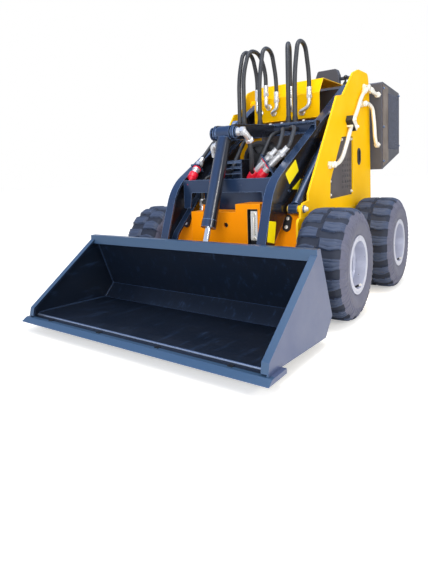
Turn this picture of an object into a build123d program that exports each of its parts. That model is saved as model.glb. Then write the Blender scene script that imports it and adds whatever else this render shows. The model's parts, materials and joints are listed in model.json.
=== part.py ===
"""Compact skid steer loader with a low bucket, curved lift arms and four driven wheels.

Millimetres, +Z up, the bucket at -Y. Sizes along Y are measured from a line just behind
the front axle while the pieces are made; PLACE then moves every piece so that the origin is on the ground,
under the middle of the whole machine.
"""
from build123d import *
from math import atan2, cos, degrees, hypot, pi, radians, sin, tan
import os

# ---- wheels ----
WHEELBASE = 700
AXLE_Y = -32            # front axle
TYRE_R = 235            # out to the lugs' tips
TYRE_W = 206
WHEEL_OUT = 556         # tyre's outer face from the centre line
RIM_R = 121             # outer edge of the rim's flange
BEAD_R = 104            # where the tyre sits on the rim
LUG_H = 11
LUG_COUNT = 18          # lugs in each of a tyre's two rows
DISC_X = 4              # inner face of the rim's disc from the wheel's middle plane
WHEEL_X = WHEEL_OUT - TYRE_W / 2
AXLE_Z = TYRE_R

SEAT = 0.3              # gap between pieces that rest or bolt on each other

# ---- frame and towers ----
SIDE_OUT = 342          # outer face of the side plates and towers
SIDE_T = 8
FRAME_FRONT = -150
FRAME_REAR = 935
FLOOR_Z = 125
STOP_IN = 216           # inner side of the arm stops, which stand in line with the arms
TIE_X, TIE_Z, TIE_R = 240, 400, 13    # tie-down holes in the rear plate
RAIL_Z = 430            # top of the side plates, foot of the towers
TOWER_TOP = 1160
TOWER_FRONT = -28       # front edge of the left tower's foot
RIGHT_BACK = 205        # how much further back the right tower's front edge is
STOP_FOOT = 300         # underside of the arm stops, on the frame's cross plate

# ---- lift arms ----
ARM_OUT = 268           # outer face of an arm
ARM_W = 40
LIFT_Y, LIFT_Z = 804, 1054            # arm pivot at the tower's head
HITCH_Y, HITCH_Z = -308, 128          # bucket pivot at the arm's foot
BEAM_Y, BEAM_Z = 300, 841             # middle of the cross beam
PIN_R = 15
RUN = 0.3                             # gap around a turning pin
SIDE_GAP = 1.5                        # gap beside a turning eye

# ---- lift cylinders, one each side ----
LC_X = 303                            # middle plane of a lift cylinder
LC_BASE = (-91, 467)                  # base pin on the frame (y, z)
LC_EYE = (520, 922)                   # rod's eye on the arm (y, z)
LC_BARREL_R = 22
LC_ROD_R = 12

# ---- tilt cylinder ----
TILT_PIN = (-131, 817)                # barrel's pin on the beam's ears
TILT_EYE = (-350, 272)                # rod's eye on the hitch plate
TC_BARREL_R = 32
TC_ROD_R = 14

# ---- bucket ----
BUCKET_W = 1094
EDGE_W = 1124           # cutting edge, wider than the bucket
SHEET = 6
LIP_Y = -893
BUCKET_TOP = (-461, 363)              # back's upper edge (y, z)
BUCKET_REAR = (-350, 104)             # hindmost crease
BUCKET_LOW = (-418, 40)               # rear end of the flat floor
BUCKET_NOSE = (-866, 96)              # top of the side plate's short front edge
LIP_Z = 58              # underside of the floor at the lip
EDGE_T = 15             # thickness of the cutting edge
EDGE_DEEP = 110         # its depth behind the bucket's lip

# ---- rear ----
HOOD_X = 402
HOOD_FRONT, HOOD_REAR = 942, 1350
HOOD_LOW_FRONT, HOOD_LOW_REAR = 617, 714
HOOD_TOP = 1116
HOOD_FALL = 27          # how much lower the hood's top is at the rear
STEP_REAR = 1500
CONSOLE_X = 190
CONSOLE_FRONT = 540

PLACE = Pos(0, -(LIP_Y - 12 + STEP_REAR) / 2, 0)

os.makedirs("parts", exist_ok=True)


def write(name, *solids):
    """Write one sub-part, moved to the machine's own origin."""
    shape = Compound(children=[PLACE * s for one in solids for s in one.solids()])
    shape.label = name
    export_step(shape, f"parts/{name}.step")


def mirrored(shape):
    return mirror(shape, Plane.YZ)


def block(x, y, z):
    """A box from its low and high faces along each axis: x=(low, high) and so on."""
    size = [high - low for low, high in (x, y, z)]
    middle = [(high + low) / 2 for low, high in (x, y, z)]
    return Pos(*middle) * Box(*size)


def outline(rows):
    """A flat face from rows of (y, z, corner radius)."""
    face = make_face(Polyline(*[(y, z) for y, z, _ in rows], close=True))
    for y, z, radius in rows:
        if radius:
            corner = face.vertices().sort_by_distance((y, z, 0))[0]
            face = fillet(corner, radius)
    return face


def plate(face, x, thick):
    """Stand a (y, z) face up as a plate whose low side is at x."""
    return extrude(Plane.YZ.offset(x) * face, thick)


def pin_x(y, z, radius, x_low, x_high):
    """A round bar along X."""
    return extrude(Plane.YZ.offset(x_low) * Pos(y, z) * Circle(radius), x_high - x_low)


def bar(start, end, radius):
    """A round bar between two points."""
    run = Vector(*end) - Vector(*start)
    return extrude(Plane(start, z_dir=run) * Circle(radius), run.length)


def tube(points, radius):
    """A bent round tube: straight runs with an arc as large as they allow at each corner."""
    path_points = [Vector(*p) for p in points]
    bends = []
    for before, corner, after in zip(path_points, path_points[1:], path_points[2:]):
        run_in, run_out = corner - before, after - corner
        turn = radians(run_in.get_angle(run_out))
        bends.append(0.45 * min(run_in.length, run_out.length) / tan(turn / 2))
    path = FilletPolyline(*path_points, radius=bends)
    return sweep(Plane(path @ 0, z_dir=path % 0) * Circle(radius), path=path)


# ---------------------------------------------------------------- wheels

def make_tyre():
    """Ring of rubber with two rows of slanted lugs, centred on the X axis."""
    half, crown = TYRE_W / 2, TYRE_R - LUG_H
    section = Polyline((-half + 14, BEAD_R), (-half + 12, RIM_R), (-half + 1, 158),
                       (-half + 3, 186), (-half + 20, crown - 8), (-half + 52, crown),
                       (half - 52, crown), (half - 20, crown - 8), (half - 3, 186),
                       (half - 1, 158), (half - 12, RIM_R), (half - 14, BEAD_R), close=True)
    tyre = revolve(Plane.XY * make_face(section), Axis.X)
    lug_face = make_face(Polyline((6, -15), (46, -21), (half - 6, -12),
                                  (half - 6, 12), (46, 9), (6, 12), close=True))
    lug = extrude(Plane.XY.offset(crown - 16) * lug_face, TYRE_R - crown + 16)
    lug -= Pos(half, 0, TYRE_R) * Rot(0, 38, 0) * Box(60, 90, 34)
    pitch = 360 / LUG_COUNT
    lugs = []
    for step in range(LUG_COUNT):
        lugs.append(Rot(step * pitch, 0, 0) * lug)
        lugs.append(Rot((step + 0.5) * pitch, 0, 0) * Rot(0, 0, 180) * lug)
    return tyre + lugs


def make_rim():
    """Steel drop-centre rim with its dished disc, outer side at +X."""
    half = TYRE_W / 2 - 12
    seat = BEAD_R - 0.4
    section = Polyline((-half - 6, RIM_R), (-half, RIM_R), (-half, seat), (-50, seat),
                       (-44, seat - 12), (44, seat - 12), (50, seat), (half, seat),
                       (half, RIM_R), (half + 6, RIM_R), (half + 6, seat - 5), (54, seat - 5),
                       (48, seat - 17), (-48, seat - 17), (-54, seat - 5), (-half - 6, seat - 5),
                       close=True)
    rim = revolve(Plane.XY * make_face(section), Axis.X)
    disc = Polyline((DISC_X, 32), (DISC_X + 6, 32), (DISC_X + 6, 60), (DISC_X + 18, 68),
                    (DISC_X + 18, seat - 16), (DISC_X + 12, seat - 16), (DISC_X + 12, 72),
                    (DISC_X, 64), close=True)
    rim += revolve(Plane.XY * make_face(disc), Axis.X)
    for step in range(5):
        spot = Rot(step * 72, 0, 0) * Pos(0, 76, 0)
        rim -= spot * Rot(0, 90, 0) * Cylinder(7, 120)
    return rim


def make_hub():
    """Hub flange with its nose and five wheel nuts, on the outer side of the motor."""
    hub = pin_x(0, 0, 56, HUB_X, DISC_X - SEAT) + pin_x(0, 0, 31, DISC_X - SEAT, DISC_X + 34)
    nut = extrude(Plane.YZ.offset(DISC_X - SEAT) * Pos(45, 0) * RegularPolygon(9, 6), 20)
    for step in range(5):
        hub += Rot(step * 72 + 36, 0, 0) * nut
    return hub


HUB_X = DISC_X - 8                    # inner face of the hub's flange
TYRE, RIM, HUB = make_tyre(), make_rim(), make_hub()
WHEELS = (  # name, side, y of its axle
    ("front_left", 1, AXLE_Y), ("front_right", -1, AXLE_Y),
    ("rear_left", 1, AXLE_Y + WHEELBASE), ("rear_right", -1, AXLE_Y + WHEELBASE))
motors = []
for name, side, axle_y in WHEELS:
    spot = Pos(side * WHEEL_X, axle_y, AXLE_Z)
    if side < 0:
        spot = spot * Rot(0, 0, 180)
    write(f"tyre_{name}", spot * TYRE)
    write(f"rim_{name}", spot * RIM, spot * HUB)
    motor = pin_x(0, 0, 66, SIDE_OUT - WHEEL_X, HUB_X - 62) + pin_x(0, 0, 52, HUB_X - 62, HUB_X - 22)
    motor += pin_x(0, 0, 22, HUB_X - 22, HUB_X - SEAT)
    motors.append(spot * motor)
write("wheel_motors", *motors)


# ---------------------------------------------------------------- frame

def make_chassis():
    inner = SIDE_OUT - SIDE_T
    side = outline([(FRAME_FRONT, FLOOR_Z, 30), (FRAME_REAR, FLOOR_Z, 30),
                    (FRAME_REAR, RAIL_Z, 0), (FRAME_FRONT, RAIL_Z, 25)])
    left = plate(side, inner, SIDE_T)
    frame = left + mirrored(left)
    frame += block((-inner, inner), (FRAME_FRONT + 30, FRAME_REAR), (FLOOR_Z, FLOOR_Z + 8))
    frame += block((-inner, inner), (FRAME_REAR - 8, FRAME_REAR), (FLOOR_Z, HOOD_LOW_FRONT - 2))
    frame += block((-inner, inner), (-20, -12), (FLOOR_Z, STOP_FOOT))
    for x in (-TIE_X, TIE_X):
        frame -= Pos(x, FRAME_REAR, TIE_Z) * Rot(90, 0, 0) * Cylinder(TIE_R, 40)
    return frame


def make_tower(front):
    """Tower plate with its mesh window, oval hole and pivot boss; front is its foremost y."""
    face = outline([(front, RAIL_Z, 0), (front, 528, 12), (front + 381, 986, 10),
                    (front + 473, 1000, 16), (max(front + 560, 610), 1132, 30),
                    (max(front + 650, 704), TOWER_TOP, 40), (880, TOWER_TOP, 34),
                    (905, 1075, 20), (FRAME_REAR - 5, 500, 0), (FRAME_REAR - 5, RAIL_Z, 0)])
    window = outline([(244, 487, 12), (602, 493, 12), (602, 800, 12), (422, 790, 12),
                      (253, 577, 20)])
    tower = plate(face - window, SIDE_OUT - SIDE_T, SIDE_T)
    tower -= plate(Pos(700, 693) * SlotOverall(74, 36, rotation=90), SIDE_OUT - 20, 40)
    tower += pin_x(LIFT_Y, LIFT_Z, 34, ARM_OUT + SIDE_GAP, SIDE_OUT)
    tower += pin_x(LIFT_Y, LIFT_Z, PIN_R + 3, ARM_OUT - ARM_W - 10, ARM_OUT + SIDE_GAP)
    base_y, base_z = LC_BASE
    ear = outline([(base_y - 26, RAIL_Z, 0), (base_y - 26, base_z + 6, 18),
                   (base_y + 8, base_z + 26, 18), (front, 500, 0), (front, RAIL_Z, 0)])
    tower += plate(ear, SIDE_OUT - SIDE_T, SIDE_T)
    tower += pin_x(base_y, base_z, PIN_R, LC_X - LC_BARREL_R - 4, SIDE_OUT + 3)
    return tower


def make_mesh():
    """Punched sheet behind the tower's window."""
    sheet = outline([(238, 481, 0), (610, 487, 0), (610, 808, 0), (418, 798, 0), (244, 580, 0)])
    mesh = plate(sheet, SIDE_OUT - SIDE_T - 2.3, 2)
    holes = []
    for row in range(6):
        for column in range(4):
            y, z = 458 + column * 39, 536 + row * 28
            holes.append(block((SIDE_OUT - 30, SIDE_OUT), (y - 11, y + 11), (z - 8, z + 8)))
    return mesh - holes


write("chassis", make_chassis())
write("tower_left", make_tower(TOWER_FRONT))
write("tower_right", mirrored(make_tower(TOWER_FRONT + RIGHT_BACK)))
write("tower_meshes", make_mesh(), mirrored(make_mesh()))


STOP_LEAN = 64                        # slant of the stops' front, degrees from level
PAD_AT = (265, -71, 400)              # middle of a pad's back


def stop_front(z):
    """The y of the arm stop's slanted front at height z."""
    return PAD_AT[1] + (z - PAD_AT[2]) / tan(radians(STOP_LEAN))


def make_arm_stop():
    """Slanted nose box behind the arm's knee, open below."""
    top, back = RAIL_Z + 8, 30
    face = outline([(stop_front(STOP_FOOT), STOP_FOOT, 0), (stop_front(top), top, 12),
                    (back, top, 0), (back, STOP_FOOT, 0)])
    room = outline([(stop_front(STOP_FOOT) + 10, STOP_FOOT - 20, 0),
                    (stop_front(top) + 10, top - 8, 0), (back - 8, top - 8, 0),
                    (back - 8, STOP_FOOT - 20, 0)])
    outer = SIDE_OUT - SIDE_T - SEAT
    return plate(face, STOP_IN, outer - STOP_IN) - plate(room, STOP_IN + 8, outer - STOP_IN - 16)


def make_stop_pad():
    x, y, z = PAD_AT
    spot = Pos(x, y - SEAT, z) * Rot(STOP_LEAN - 90, 0, 0) * Rot(90, 0, 0) * Rot(0, 0, 90)
    return spot * extrude(make_face(SlotOverall(76, 34)), 10)


stop, pad = make_arm_stop(), make_stop_pad()
write("arm_stops", stop, mirrored(stop))
write("stop_pads", pad, mirrored(pad))

# ---------------------------------------------------------------- tank and engine

TUB_Z = FLOOR_Z + SIDE_T              # top of the frame's floor

tank = block((-180, 60), (-165, -20.5), (TUB_Z, 455)) + block((60, 180), (-165, -20.5), (TUB_Z, 492))
tank += Pos(-130, -90, 470) * Cylinder(26, 30)
tank -= block((-174, 54), (-127, 0), (TUB_Z + 6, 449)) + block((66, 174), (-127, 0), (TUB_Z + 6, 478))
tank -= block((118, 168), (-170, -135), (300, 470))
tank -= Pos(8, -165, 395) * Rot(90, 0, 0) * Cylinder(12, 30)
write("oil_tank", tank)
write("sight_gauge", block((127, 159), (-150, -135), (330, 460)))


def make_engine():
    """Twin engine: crankcase, two finned barrels in a vee, blower housing at the front."""
    engine = block((-150, 150), (250, 520), (TUB_Z, 560)) + block((-90, 90), (230, 500), (560, 640))
    for side in (-1, 1):
        lean = Pos(0, 375, 560) * Rot(0, side * 45, 0)
        engine += lean * Pos(0, 0, 90) * Box(100, 150, 180)
        for step in range(6):
            engine += lean * Pos(0, 0, 70 + step * 20) * Box(140, 190, 6)
    engine += Pos(10, 215, 702) * Rot(90, 0, 0) * Cylinder(88, 60)
    return engine


def make_blower():
    """Blower screen and pulley on the engine's nose."""
    spot = Pos(10, 175, 702) * Rot(90, 0, 0)
    screen = spot * (Cylinder(72, 20) - Cylinder(60, 20))
    for step in range(3):
        screen += spot * Rot(0, 0, step * 60) * Box(124, 6, 12)
    return screen + spot * Pos(0, 0, 5) * Cylinder(24, 30)


GUARD_BACK = 90                       # rear face of the guard's louvred box
GUARD_BOX = (-96, 8, 696)             # its sides' x and its top


def make_guard():
    """Guard between the oil tank and the engine, with a louvred box on its top."""
    guard = block((-200, 200), (-12, -6), (300, 560))
    guard += block((-200, 200), (-12, GUARD_BACK), (560, 566))
    low_x, high_x, top = GUARD_BOX
    guard += block((low_x, high_x), (GUARD_BACK - 8, GUARD_BACK), (560, top))
    for x in (low_x, high_x - 6):
        guard += block((x, x + 6), (0, GUARD_BACK), (560, top))
    for step in range(5):
        z = top - 8 - step * 26
        slat = make_face(Polyline((0, z - 10), (26, z), (26, z + 3), (0, z - 7), close=True))
        guard += plate(slat, low_x, high_x - low_x)
    return guard


write("engine", make_engine())
write("blower", make_blower())
write("engine_guard", make_guard())

# ---------------------------------------------------------------- console and hood


def folded(points, thick):
    """Flat outline of a folded sheet: the points are its outer skin, thick lies to the left."""
    inner = []
    legs = [Vector(b[0] - a[0], b[1] - a[1]) for a, b in zip(points, points[1:])]
    sides = [Vector(-leg.Y, leg.X) * (thick / leg.length) for leg in legs]
    for at, point in enumerate(points):
        if at in (0, len(points) - 1):
            shift = sides[0 if at == 0 else -1]
        else:
            before, after = sides[at - 1], sides[at]
            middle = before + after
            shift = middle * (thick * thick / before.dot(middle))
        inner.append((point[0] + shift.X, point[1] + shift.Y))
    return make_face(Polyline(*points, *reversed(inner), close=True))


WALL = 4
CONSOLE_SKIN = ((CONSOLE_FRONT + 60, 914), (CONSOLE_FRONT, 914), (CONSOLE_FRONT, 1046),
                (CONSOLE_FRONT + 62, 1128), (HOOD_FRONT, 1128))


def make_console():
    """Folded sheet over the valves: sloped front, open below and at its ends."""
    skin = [(y, z) for y, z in reversed(CONSOLE_SKIN)]
    return plate(folded(skin, WALL), -CONSOLE_X, 2 * CONSOLE_X)


def hood_top(y):
    """Height of the hood's top skin at y; it falls a little to the rear."""
    return HOOD_TOP - HOOD_FALL * (y - HOOD_FRONT) / (HOOD_REAR - HOOD_FRONT)


def make_hood():
    """Rear cover with slanted foot and slatted sides."""
    skin = [(HOOD_FRONT, HOOD_LOW_FRONT, 0), (HOOD_FRONT, HOOD_TOP, 12),
            (HOOD_REAR, HOOD_TOP - HOOD_FALL, 20), (HOOD_REAR, HOOD_LOW_REAR, 10)]
    hood = plate(outline(skin), -HOOD_X, 2 * HOOD_X)
    inset = [(HOOD_FRONT + WALL, HOOD_LOW_FRONT + WALL + 1, 0),
             (HOOD_FRONT + WALL, HOOD_TOP - WALL, 0),
             (HOOD_REAR - WALL, HOOD_TOP - HOOD_FALL - WALL, 0),
             (HOOD_REAR - WALL, HOOD_LOW_REAR + WALL, 0)]
    hood -= plate(outline(inset), -HOOD_X + WALL, 2 * (HOOD_X - WALL))
    slot_low, slot_high = HOOD_LOW_REAR + 20, HOOD_TOP - HOOD_FALL - 26
    for step in range(9):
        y = HOOD_FRONT + 150 + step * 26
        hood -= block((-HOOD_X - 5, HOOD_X + 5), (y, y + 12), (slot_low, slot_high))
    return hood


def make_core():
    """Cooler core on the inside of the left slats."""
    return block((HOOD_X - WALL - 60, HOOD_X - WALL), (HOOD_FRONT + 140, HOOD_REAR - 20),
                 (HOOD_LOW_REAR + 12, HOOD_TOP - HOOD_FALL - 12))


def make_step():
    """Operator's step behind the rear axle, on two brackets."""
    step = block((-300, 300), (FRAME_REAR, STEP_REAR), (190, 196))
    step += block((-300, 300), (STEP_REAR - 6, STEP_REAR), (160, 190))
    for x in (-300, 294):
        step += plate(outline([(FRAME_REAR, 130, 0), (FRAME_REAR, 240, 0), (STEP_REAR, 196, 0),
                               (STEP_REAR, 160, 0)]), x, 6)
    return step


DASH_TOP = 1285


def make_dash():
    """Wedge-shaped dash on the hood, with the padded pod in front of the operator."""
    dash = plate(outline([(1180, hood_top(1180), 0), (1180, HOOD_TOP + 30, 6),
                          (1215, HOOD_TOP + 55, 6), (1310, hood_top(1310), 0)]), -150, 300)
    pod = make_face(Polyline((-75, HOOD_TOP), (-75, DASH_TOP - 40), (-60, DASH_TOP),
                             (60, DASH_TOP), (75, DASH_TOP - 40), (75, HOOD_TOP), close=True))
    pod = fillet(pod.vertices().group_by(Axis.Y)[1:], 14)
    return dash + extrude(Plane.XZ.offset(-1212) * pod, -46)


def make_levers():
    levers = []
    for x in (-110, 110):
        lever = bar((x, 1222, HOOD_TOP + 34), (x, 1240, 1215), 6) + Pos(x, 1243, 1226) * Sphere(14)
        levers.append(lever - make_dash())
    return levers


def make_grab_bar():
    foot = hood_top(1310) + 0.3
    return tube([(-200, 1320, foot), (-200, 1320, 1190), (-130, 1330, 1235),
                 (130, 1330, 1235), (200, 1320, 1190), (200, 1320, foot)], 12)


write("console", make_console())
write("rear_hood", make_hood())
write("cooler_core", make_core(), mirrored(make_core()))
write("step", make_step())
write("dash", make_dash())
write("levers", *make_levers())
write("grab_bar", make_grab_bar())

PIPE_R = 10
pipe_x = SIDE_OUT + PIPE_R + 5
PIPES = (  # corners of the three steel oil pipes on the left tower
    ((pipe_x, 228, 650), (pipe_x, 315, 655), (pipe_x, 382, 686), (pipe_x, 459, 768),
     (pipe_x, 524, 849), (pipe_x, 628, 932), (pipe_x, 698, 1010), (pipe_x, 790, 1066)),
    ((pipe_x, 737, 978), (pipe_x, 833, 988), (pipe_x + 10, 880, 965), (pipe_x + 16, 890, 872),
     (pipe_x + 19, 892, 800), (pipe_x + 22, 906, 758), (pipe_x + 22, HOOD_FRONT - SEAT, 758)),
    ((pipe_x, 796, 1071), (pipe_x + 10, 850, 1058), (pipe_x + 24, 904, 1042),
     (pipe_x + 24, HOOD_FRONT - SEAT, 1042)))
UNIONS = ((0, 230, 650, 13), (0, 794, 1069, 17), (1, 741, 978, 13))     # pipe, y, z, radius
CLAMP = (505, 541, 842, 878)          # clamp on the long pipe: y and z from and to


def make_pipes():
    """Oil pipes with the unions that take them through the tower, and the long one's clamp."""
    tubes = [tube(points, PIPE_R) for points in PIPES]
    for pipe, y, z, radius in UNIONS:
        tubes[pipe] += pin_x(y, z, radius, SIDE_OUT + SEAT, pipe_x + 5)
    y_low, y_high, z_low, z_high = CLAMP
    tubes[0] += block((SIDE_OUT + SEAT, pipe_x + PIPE_R + 4), (y_low, y_high), (z_low, z_high))
    return tubes[0] + tubes[2], tubes[1]


write("oil_pipes", *make_pipes())

# ---------------------------------------------------------------- hoses over the console

HOSE_R = 11
ELBOW_R = 10
ELBOWS = (  # corners of the steel elbows on the console's front
    ((-150, 500, 1060), (-150, 500, 972), (-150, CONSOLE_FRONT - 0.3, 972)),
    ((-97, 500, 1077), (-97, 500, 998), (-97, CONSOLE_FRONT - 0.3, 998)),
    ((-35, 500, 1034), (-35, 500, 980), (-68, 505, 962), (-68, CONSOLE_FRONT - 0.3, 962)),
    ((46, 500, 1050), (46, 500, 972), (46, CONSOLE_FRONT - 0.3, 972)),
    ((150, 500, 1034), (150, 500, 972), (96, 505, 948), (96, CONSOLE_FRONT - 0.3, 948)))
BEAM_HOSE_X = (-158, -131, -39, 119, 153)
HOSE_TOP = 1290


def arch(elbow, beam_x):
    """Hose from an elbow's upper end, up in a bow and down to the cross beam."""
    x, y, z = elbow[0]
    end_z = BEAM_Z + 32 + SEAT
    reach = beam_x - x
    return [(x, y, z + 0.3), (x, y, z + 110),
            (x + 0.3 * reach, y - 50, HOSE_TOP), (x + 0.7 * reach, BEAM_Y + 52, HOSE_TOP + 4),
            (beam_x, BEAM_Y, z + 80), (beam_x, BEAM_Y, end_z)]


write("hose_elbows", *[tube(points, ELBOW_R) for points in ELBOWS])
write("lift_hoses", *[tube(arch(elbow, x), HOSE_R) for elbow, x in zip(ELBOWS, BEAM_HOSE_X)])

# ---------------------------------------------------------------- lift arms

ARM_ROWS = [(-338, 96, 30), (-338, 200, 60), (-292, 360, 150), (-205, 582, 230),
            (835, 1124, 46), (876, 1040, 46), (780, 980, 30), (190, 676, 60), (-205, 345, 60),
            (-276, 200, 80), (-278, 96, 30)]


def make_arm():
    """Left arm: channel open towards the middle, bosses at pivot, cylinder and foot."""
    face = outline(ARM_ROWS)
    low, web = ARM_OUT - ARM_W, 10
    arm = plate(face, low, ARM_W)
    arm -= plate(offset(face, -10), low, ARM_W - web)
    for y, z, radius in ((LIFT_Y, LIFT_Z, 40), (HITCH_Y, HITCH_Z, 27), (*LC_EYE, 26)):
        arm += pin_x(y, z, radius, low, ARM_OUT)
    arm -= pin_x(LIFT_Y, LIFT_Z, PIN_R + 3 + RUN, low - 20, ARM_OUT + 20)
    arm -= pin_x(HITCH_Y, HITCH_Z, PIN_R - 3 + RUN, low - 20, ARM_OUT + 20)
    return arm


def make_beam():
    """Cross beam on the arms with two ears that reach forward to the tilt cylinder."""
    beam = block((-ARM_OUT, ARM_OUT), (BEAM_Y - 28, BEAM_Y + 28), (BEAM_Z - 30, BEAM_Z + 32))
    beam -= block((-ARM_OUT + 6, ARM_OUT - 6), (BEAM_Y - 40, BEAM_Y + 20),
                  (BEAM_Z - 22, BEAM_Z + 24))
    ty, tz = TILT_PIN
    ear = outline([(ty - 30, tz + 8, 26), (ty - 12, tz + 36, 26), (BEAM_Y - 26, BEAM_Z + 28, 0),
                   (BEAM_Y - 26, BEAM_Z - 30, 0), (ty + 20, tz - 34, 30), (ty - 24, tz - 26, 24)])
    for x in (-52, 40):
        beam += plate(ear, x, 12)
        beam += pin_x(ty, tz, 27, x - 3, x + 15)
    beam += pin_x(ty, tz, PIN_R, -60, 60)
    return beam


def make_bridge():
    """Cross plate between the arms at the knee, an upside-down U."""
    half = ARM_OUT - ARM_W
    face = Polyline((-half, 470), (-half, 606), (half, 606), (half, 470), (half - 36, 470),
                    (half - 44, 545), (-half + 44, 545), (-half + 36, 470), close=True)
    bridge = extrude(Plane.XZ.offset(152) * make_face(face), -8)
    return bridge


COUPLER_R, CAP_R = 16, 20
HOLDER_T = 6
COUPLERS = (  # hose end of each quick coupler, the way it points; holder, cap and tip from there
    ((160, 12, 713), (-0.73, 0, -0.683), 34, 112, 185),
    ((220, -6, 717), (-0.73, 0, -0.683), 80.5, 123, 192),
    ((-206, -34, 690), (0, -0.736, -0.676), 34, 82, 132))
COUPLER_HOSES = (  # corners of the hoses behind the couplers, after each hose end
    ((193, 12, 744), (168, 118, 818), (118, 214, BEAM_Z), (118, BEAM_Y + 20 - SEAT, BEAM_Z)),
    ((252, -6, 747), (226, 122, 838), (156, 214, BEAM_Z), (156, BEAM_Y + 20 - SEAT, BEAM_Z)),
    ((-206, 2, 723), (-204, 110, 806), (-196, 214, BEAM_Z), (-196, BEAM_Y + 20 - SEAT, BEAM_Z)))


def make_couplers():
    """Quick couplers with a collar, and the tapered caps on their free ends."""
    metal, caps = [], []
    for back, way, hold, split, length in COUPLERS:
        start, unit = Vector(*back), Vector(*way).normalized()
        collar = start + unit * (hold + HOLDER_T + SEAT)
        cap = Plane(start + unit * split, z_dir=unit)
        metal.append(bar(start, start + unit * split, COUPLER_R)
                     + bar(collar, collar + unit * 16, CAP_R))
        deep = length - split
        section = Polyline((0, 0), (CAP_R, 0), (CAP_R, deep * 0.45), (CAP_R * 0.5, deep * 0.8),
                           (CAP_R * 0.3, deep), (0, deep), close=True)
        caps.append(cap * revolve(Plane.XZ * make_face(section), Axis.Z))
    return metal, caps


def make_holder(first, middle, reach, width):
    """Holder plate for couplers: square to them, its long side the way reach points."""
    start, unit = Vector(*COUPLERS[first][0]), Vector(*COUPLERS[first][1]).normalized()
    face = Plane(start + unit * COUPLERS[first][2], x_dir=reach, z_dir=unit)
    low, high = middle
    holder = extrude(face * Pos((low + high) / 2, 0) * Rectangle(high - low, width), HOLDER_T)
    for back, way, _, split, _ in COUPLERS:
        holder -= bar(back, Vector(*back) + Vector(*way) * split, COUPLER_R + SEAT)
    return holder


arm, beam = make_arm(), make_beam()
beam -= arm
beam -= mirrored(arm)
write("arm_left", arm + make_holder(0, (-26, 212), (0.618, -0.427, -0.659), 54))
write("arm_right", mirrored(arm) + make_holder(2, (-24, 26), (-1, 0, -0.06), 50))
couplers, caps = make_couplers()
write("couplers", *couplers)
write("coupler_hoses", *[tube([Vector(*coupler[0]) - Vector(*coupler[1]) * SEAT, *corners], HOSE_R - 2)
                         for coupler, corners in zip(COUPLERS, COUPLER_HOSES)])
write("coupler_caps", *caps)
write("cross_beam", beam)
write("arm_bridge", make_bridge() - arm - mirrored(arm))

# ---------------------------------------------------------------- cylinders


def along(start, end, x, low, high, radius):
    """A round bar on the line between two (y, z) pins, from low to high along it."""
    run = hypot(end[0] - start[0], end[1] - start[1])
    dy, dz = (end[0] - start[0]) / run, (end[1] - start[1]) / run
    return bar((x, start[0] + dy * low, start[1] + dz * low),
               (x, start[0] + dy * high, start[1] + dz * high), radius)


def make_barrel(base, eye, x, radius, length, rod_r, eye_w):
    """Cylinder barrel with its base eye at one pin and an open bore at the other end."""
    barrel = along(base, eye, x, radius * 0.9, length, radius)
    barrel += along(base, eye, x, length - 26, length + 8, radius + 1.5)
    barrel += pin_x(*base, radius, x - eye_w / 2, x + eye_w / 2)
    barrel -= along(base, eye, x, radius + 20, length + 40, rod_r + 1)
    barrel -= pin_x(*base, PIN_R + RUN, x - 100, x + 100)
    return barrel


def make_rod(base, eye, x, radius, start, eye_r, eye_w):
    """Piston rod with its eye."""
    run = hypot(eye[0] - base[0], eye[1] - base[1])
    rod = along(base, eye, x, start, run - 4, radius)
    rod += pin_x(*eye, eye_r, x - eye_w / 2, x + eye_w / 2)
    return rod


LC_LENGTH = 500
lift_barrel = make_barrel(LC_BASE, LC_EYE, LC_X, LC_BARREL_R, LC_LENGTH, LC_ROD_R,
                          2 * LC_BARREL_R - 4)
lift_rod = make_rod(LC_BASE, LC_EYE, LC_X, LC_ROD_R, 90, 22, 30)
lift_rod += pin_x(*LC_EYE, PIN_R, ARM_OUT + SIDE_GAP, LC_X + 20)
for name, turn in (("left", lambda s: s), ("right", mirrored)):
    write(f"lift_barrel_{name}", turn(lift_barrel))
    write(f"lift_rod_{name}", turn(lift_rod))

TC_LENGTH = 445
write("tilt_barrel", make_barrel(TILT_PIN, TILT_EYE, 0, TC_BARREL_R, TC_LENGTH, TC_ROD_R, 66))
write("tilt_rod", make_rod(TILT_PIN, TILT_EYE, 0, TC_ROD_R, 110, 22, 40))

# ---------------------------------------------------------------- hitch plate and bucket

back_len = hypot(BUCKET_TOP[0] - BUCKET_REAR[0], BUCKET_TOP[1] - BUCKET_REAR[1])
UP = ((BUCKET_TOP[0] - BUCKET_REAR[0]) / back_len, (BUCKET_TOP[1] - BUCKET_REAR[1]) / back_len)
OFF = (UP[1], -UP[0])                 # straight out of the bucket's back


def on_back(up, off):
    """(y, z) of a point given up along the bucket's back and off it."""
    return (BUCKET_REAR[0] + UP[0] * up + OFF[0] * off,
            BUCKET_REAR[1] + UP[1] * up + OFF[1] * off)


PLATE_T = 12


def ear_at(pin, radius):
    """Ear from the hitch plate to a round end about a pin, as a flat face."""
    off = (pin[0] - BUCKET_REAR[0]) * OFF[0] + (pin[1] - BUCKET_REAR[1]) * OFF[1]
    up = (pin[0] - BUCKET_REAR[0]) * UP[0] + (pin[1] - BUCKET_REAR[1]) * UP[1]
    foot = [on_back(up - radius * 1.5, PLATE_T), on_back(up + radius * 1.5, PLATE_T),
            on_back(up + radius, off), on_back(up - radius, off)]
    return make_face(Polyline(*foot, close=True)) + Pos(*pin) * Circle(radius)


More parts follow.
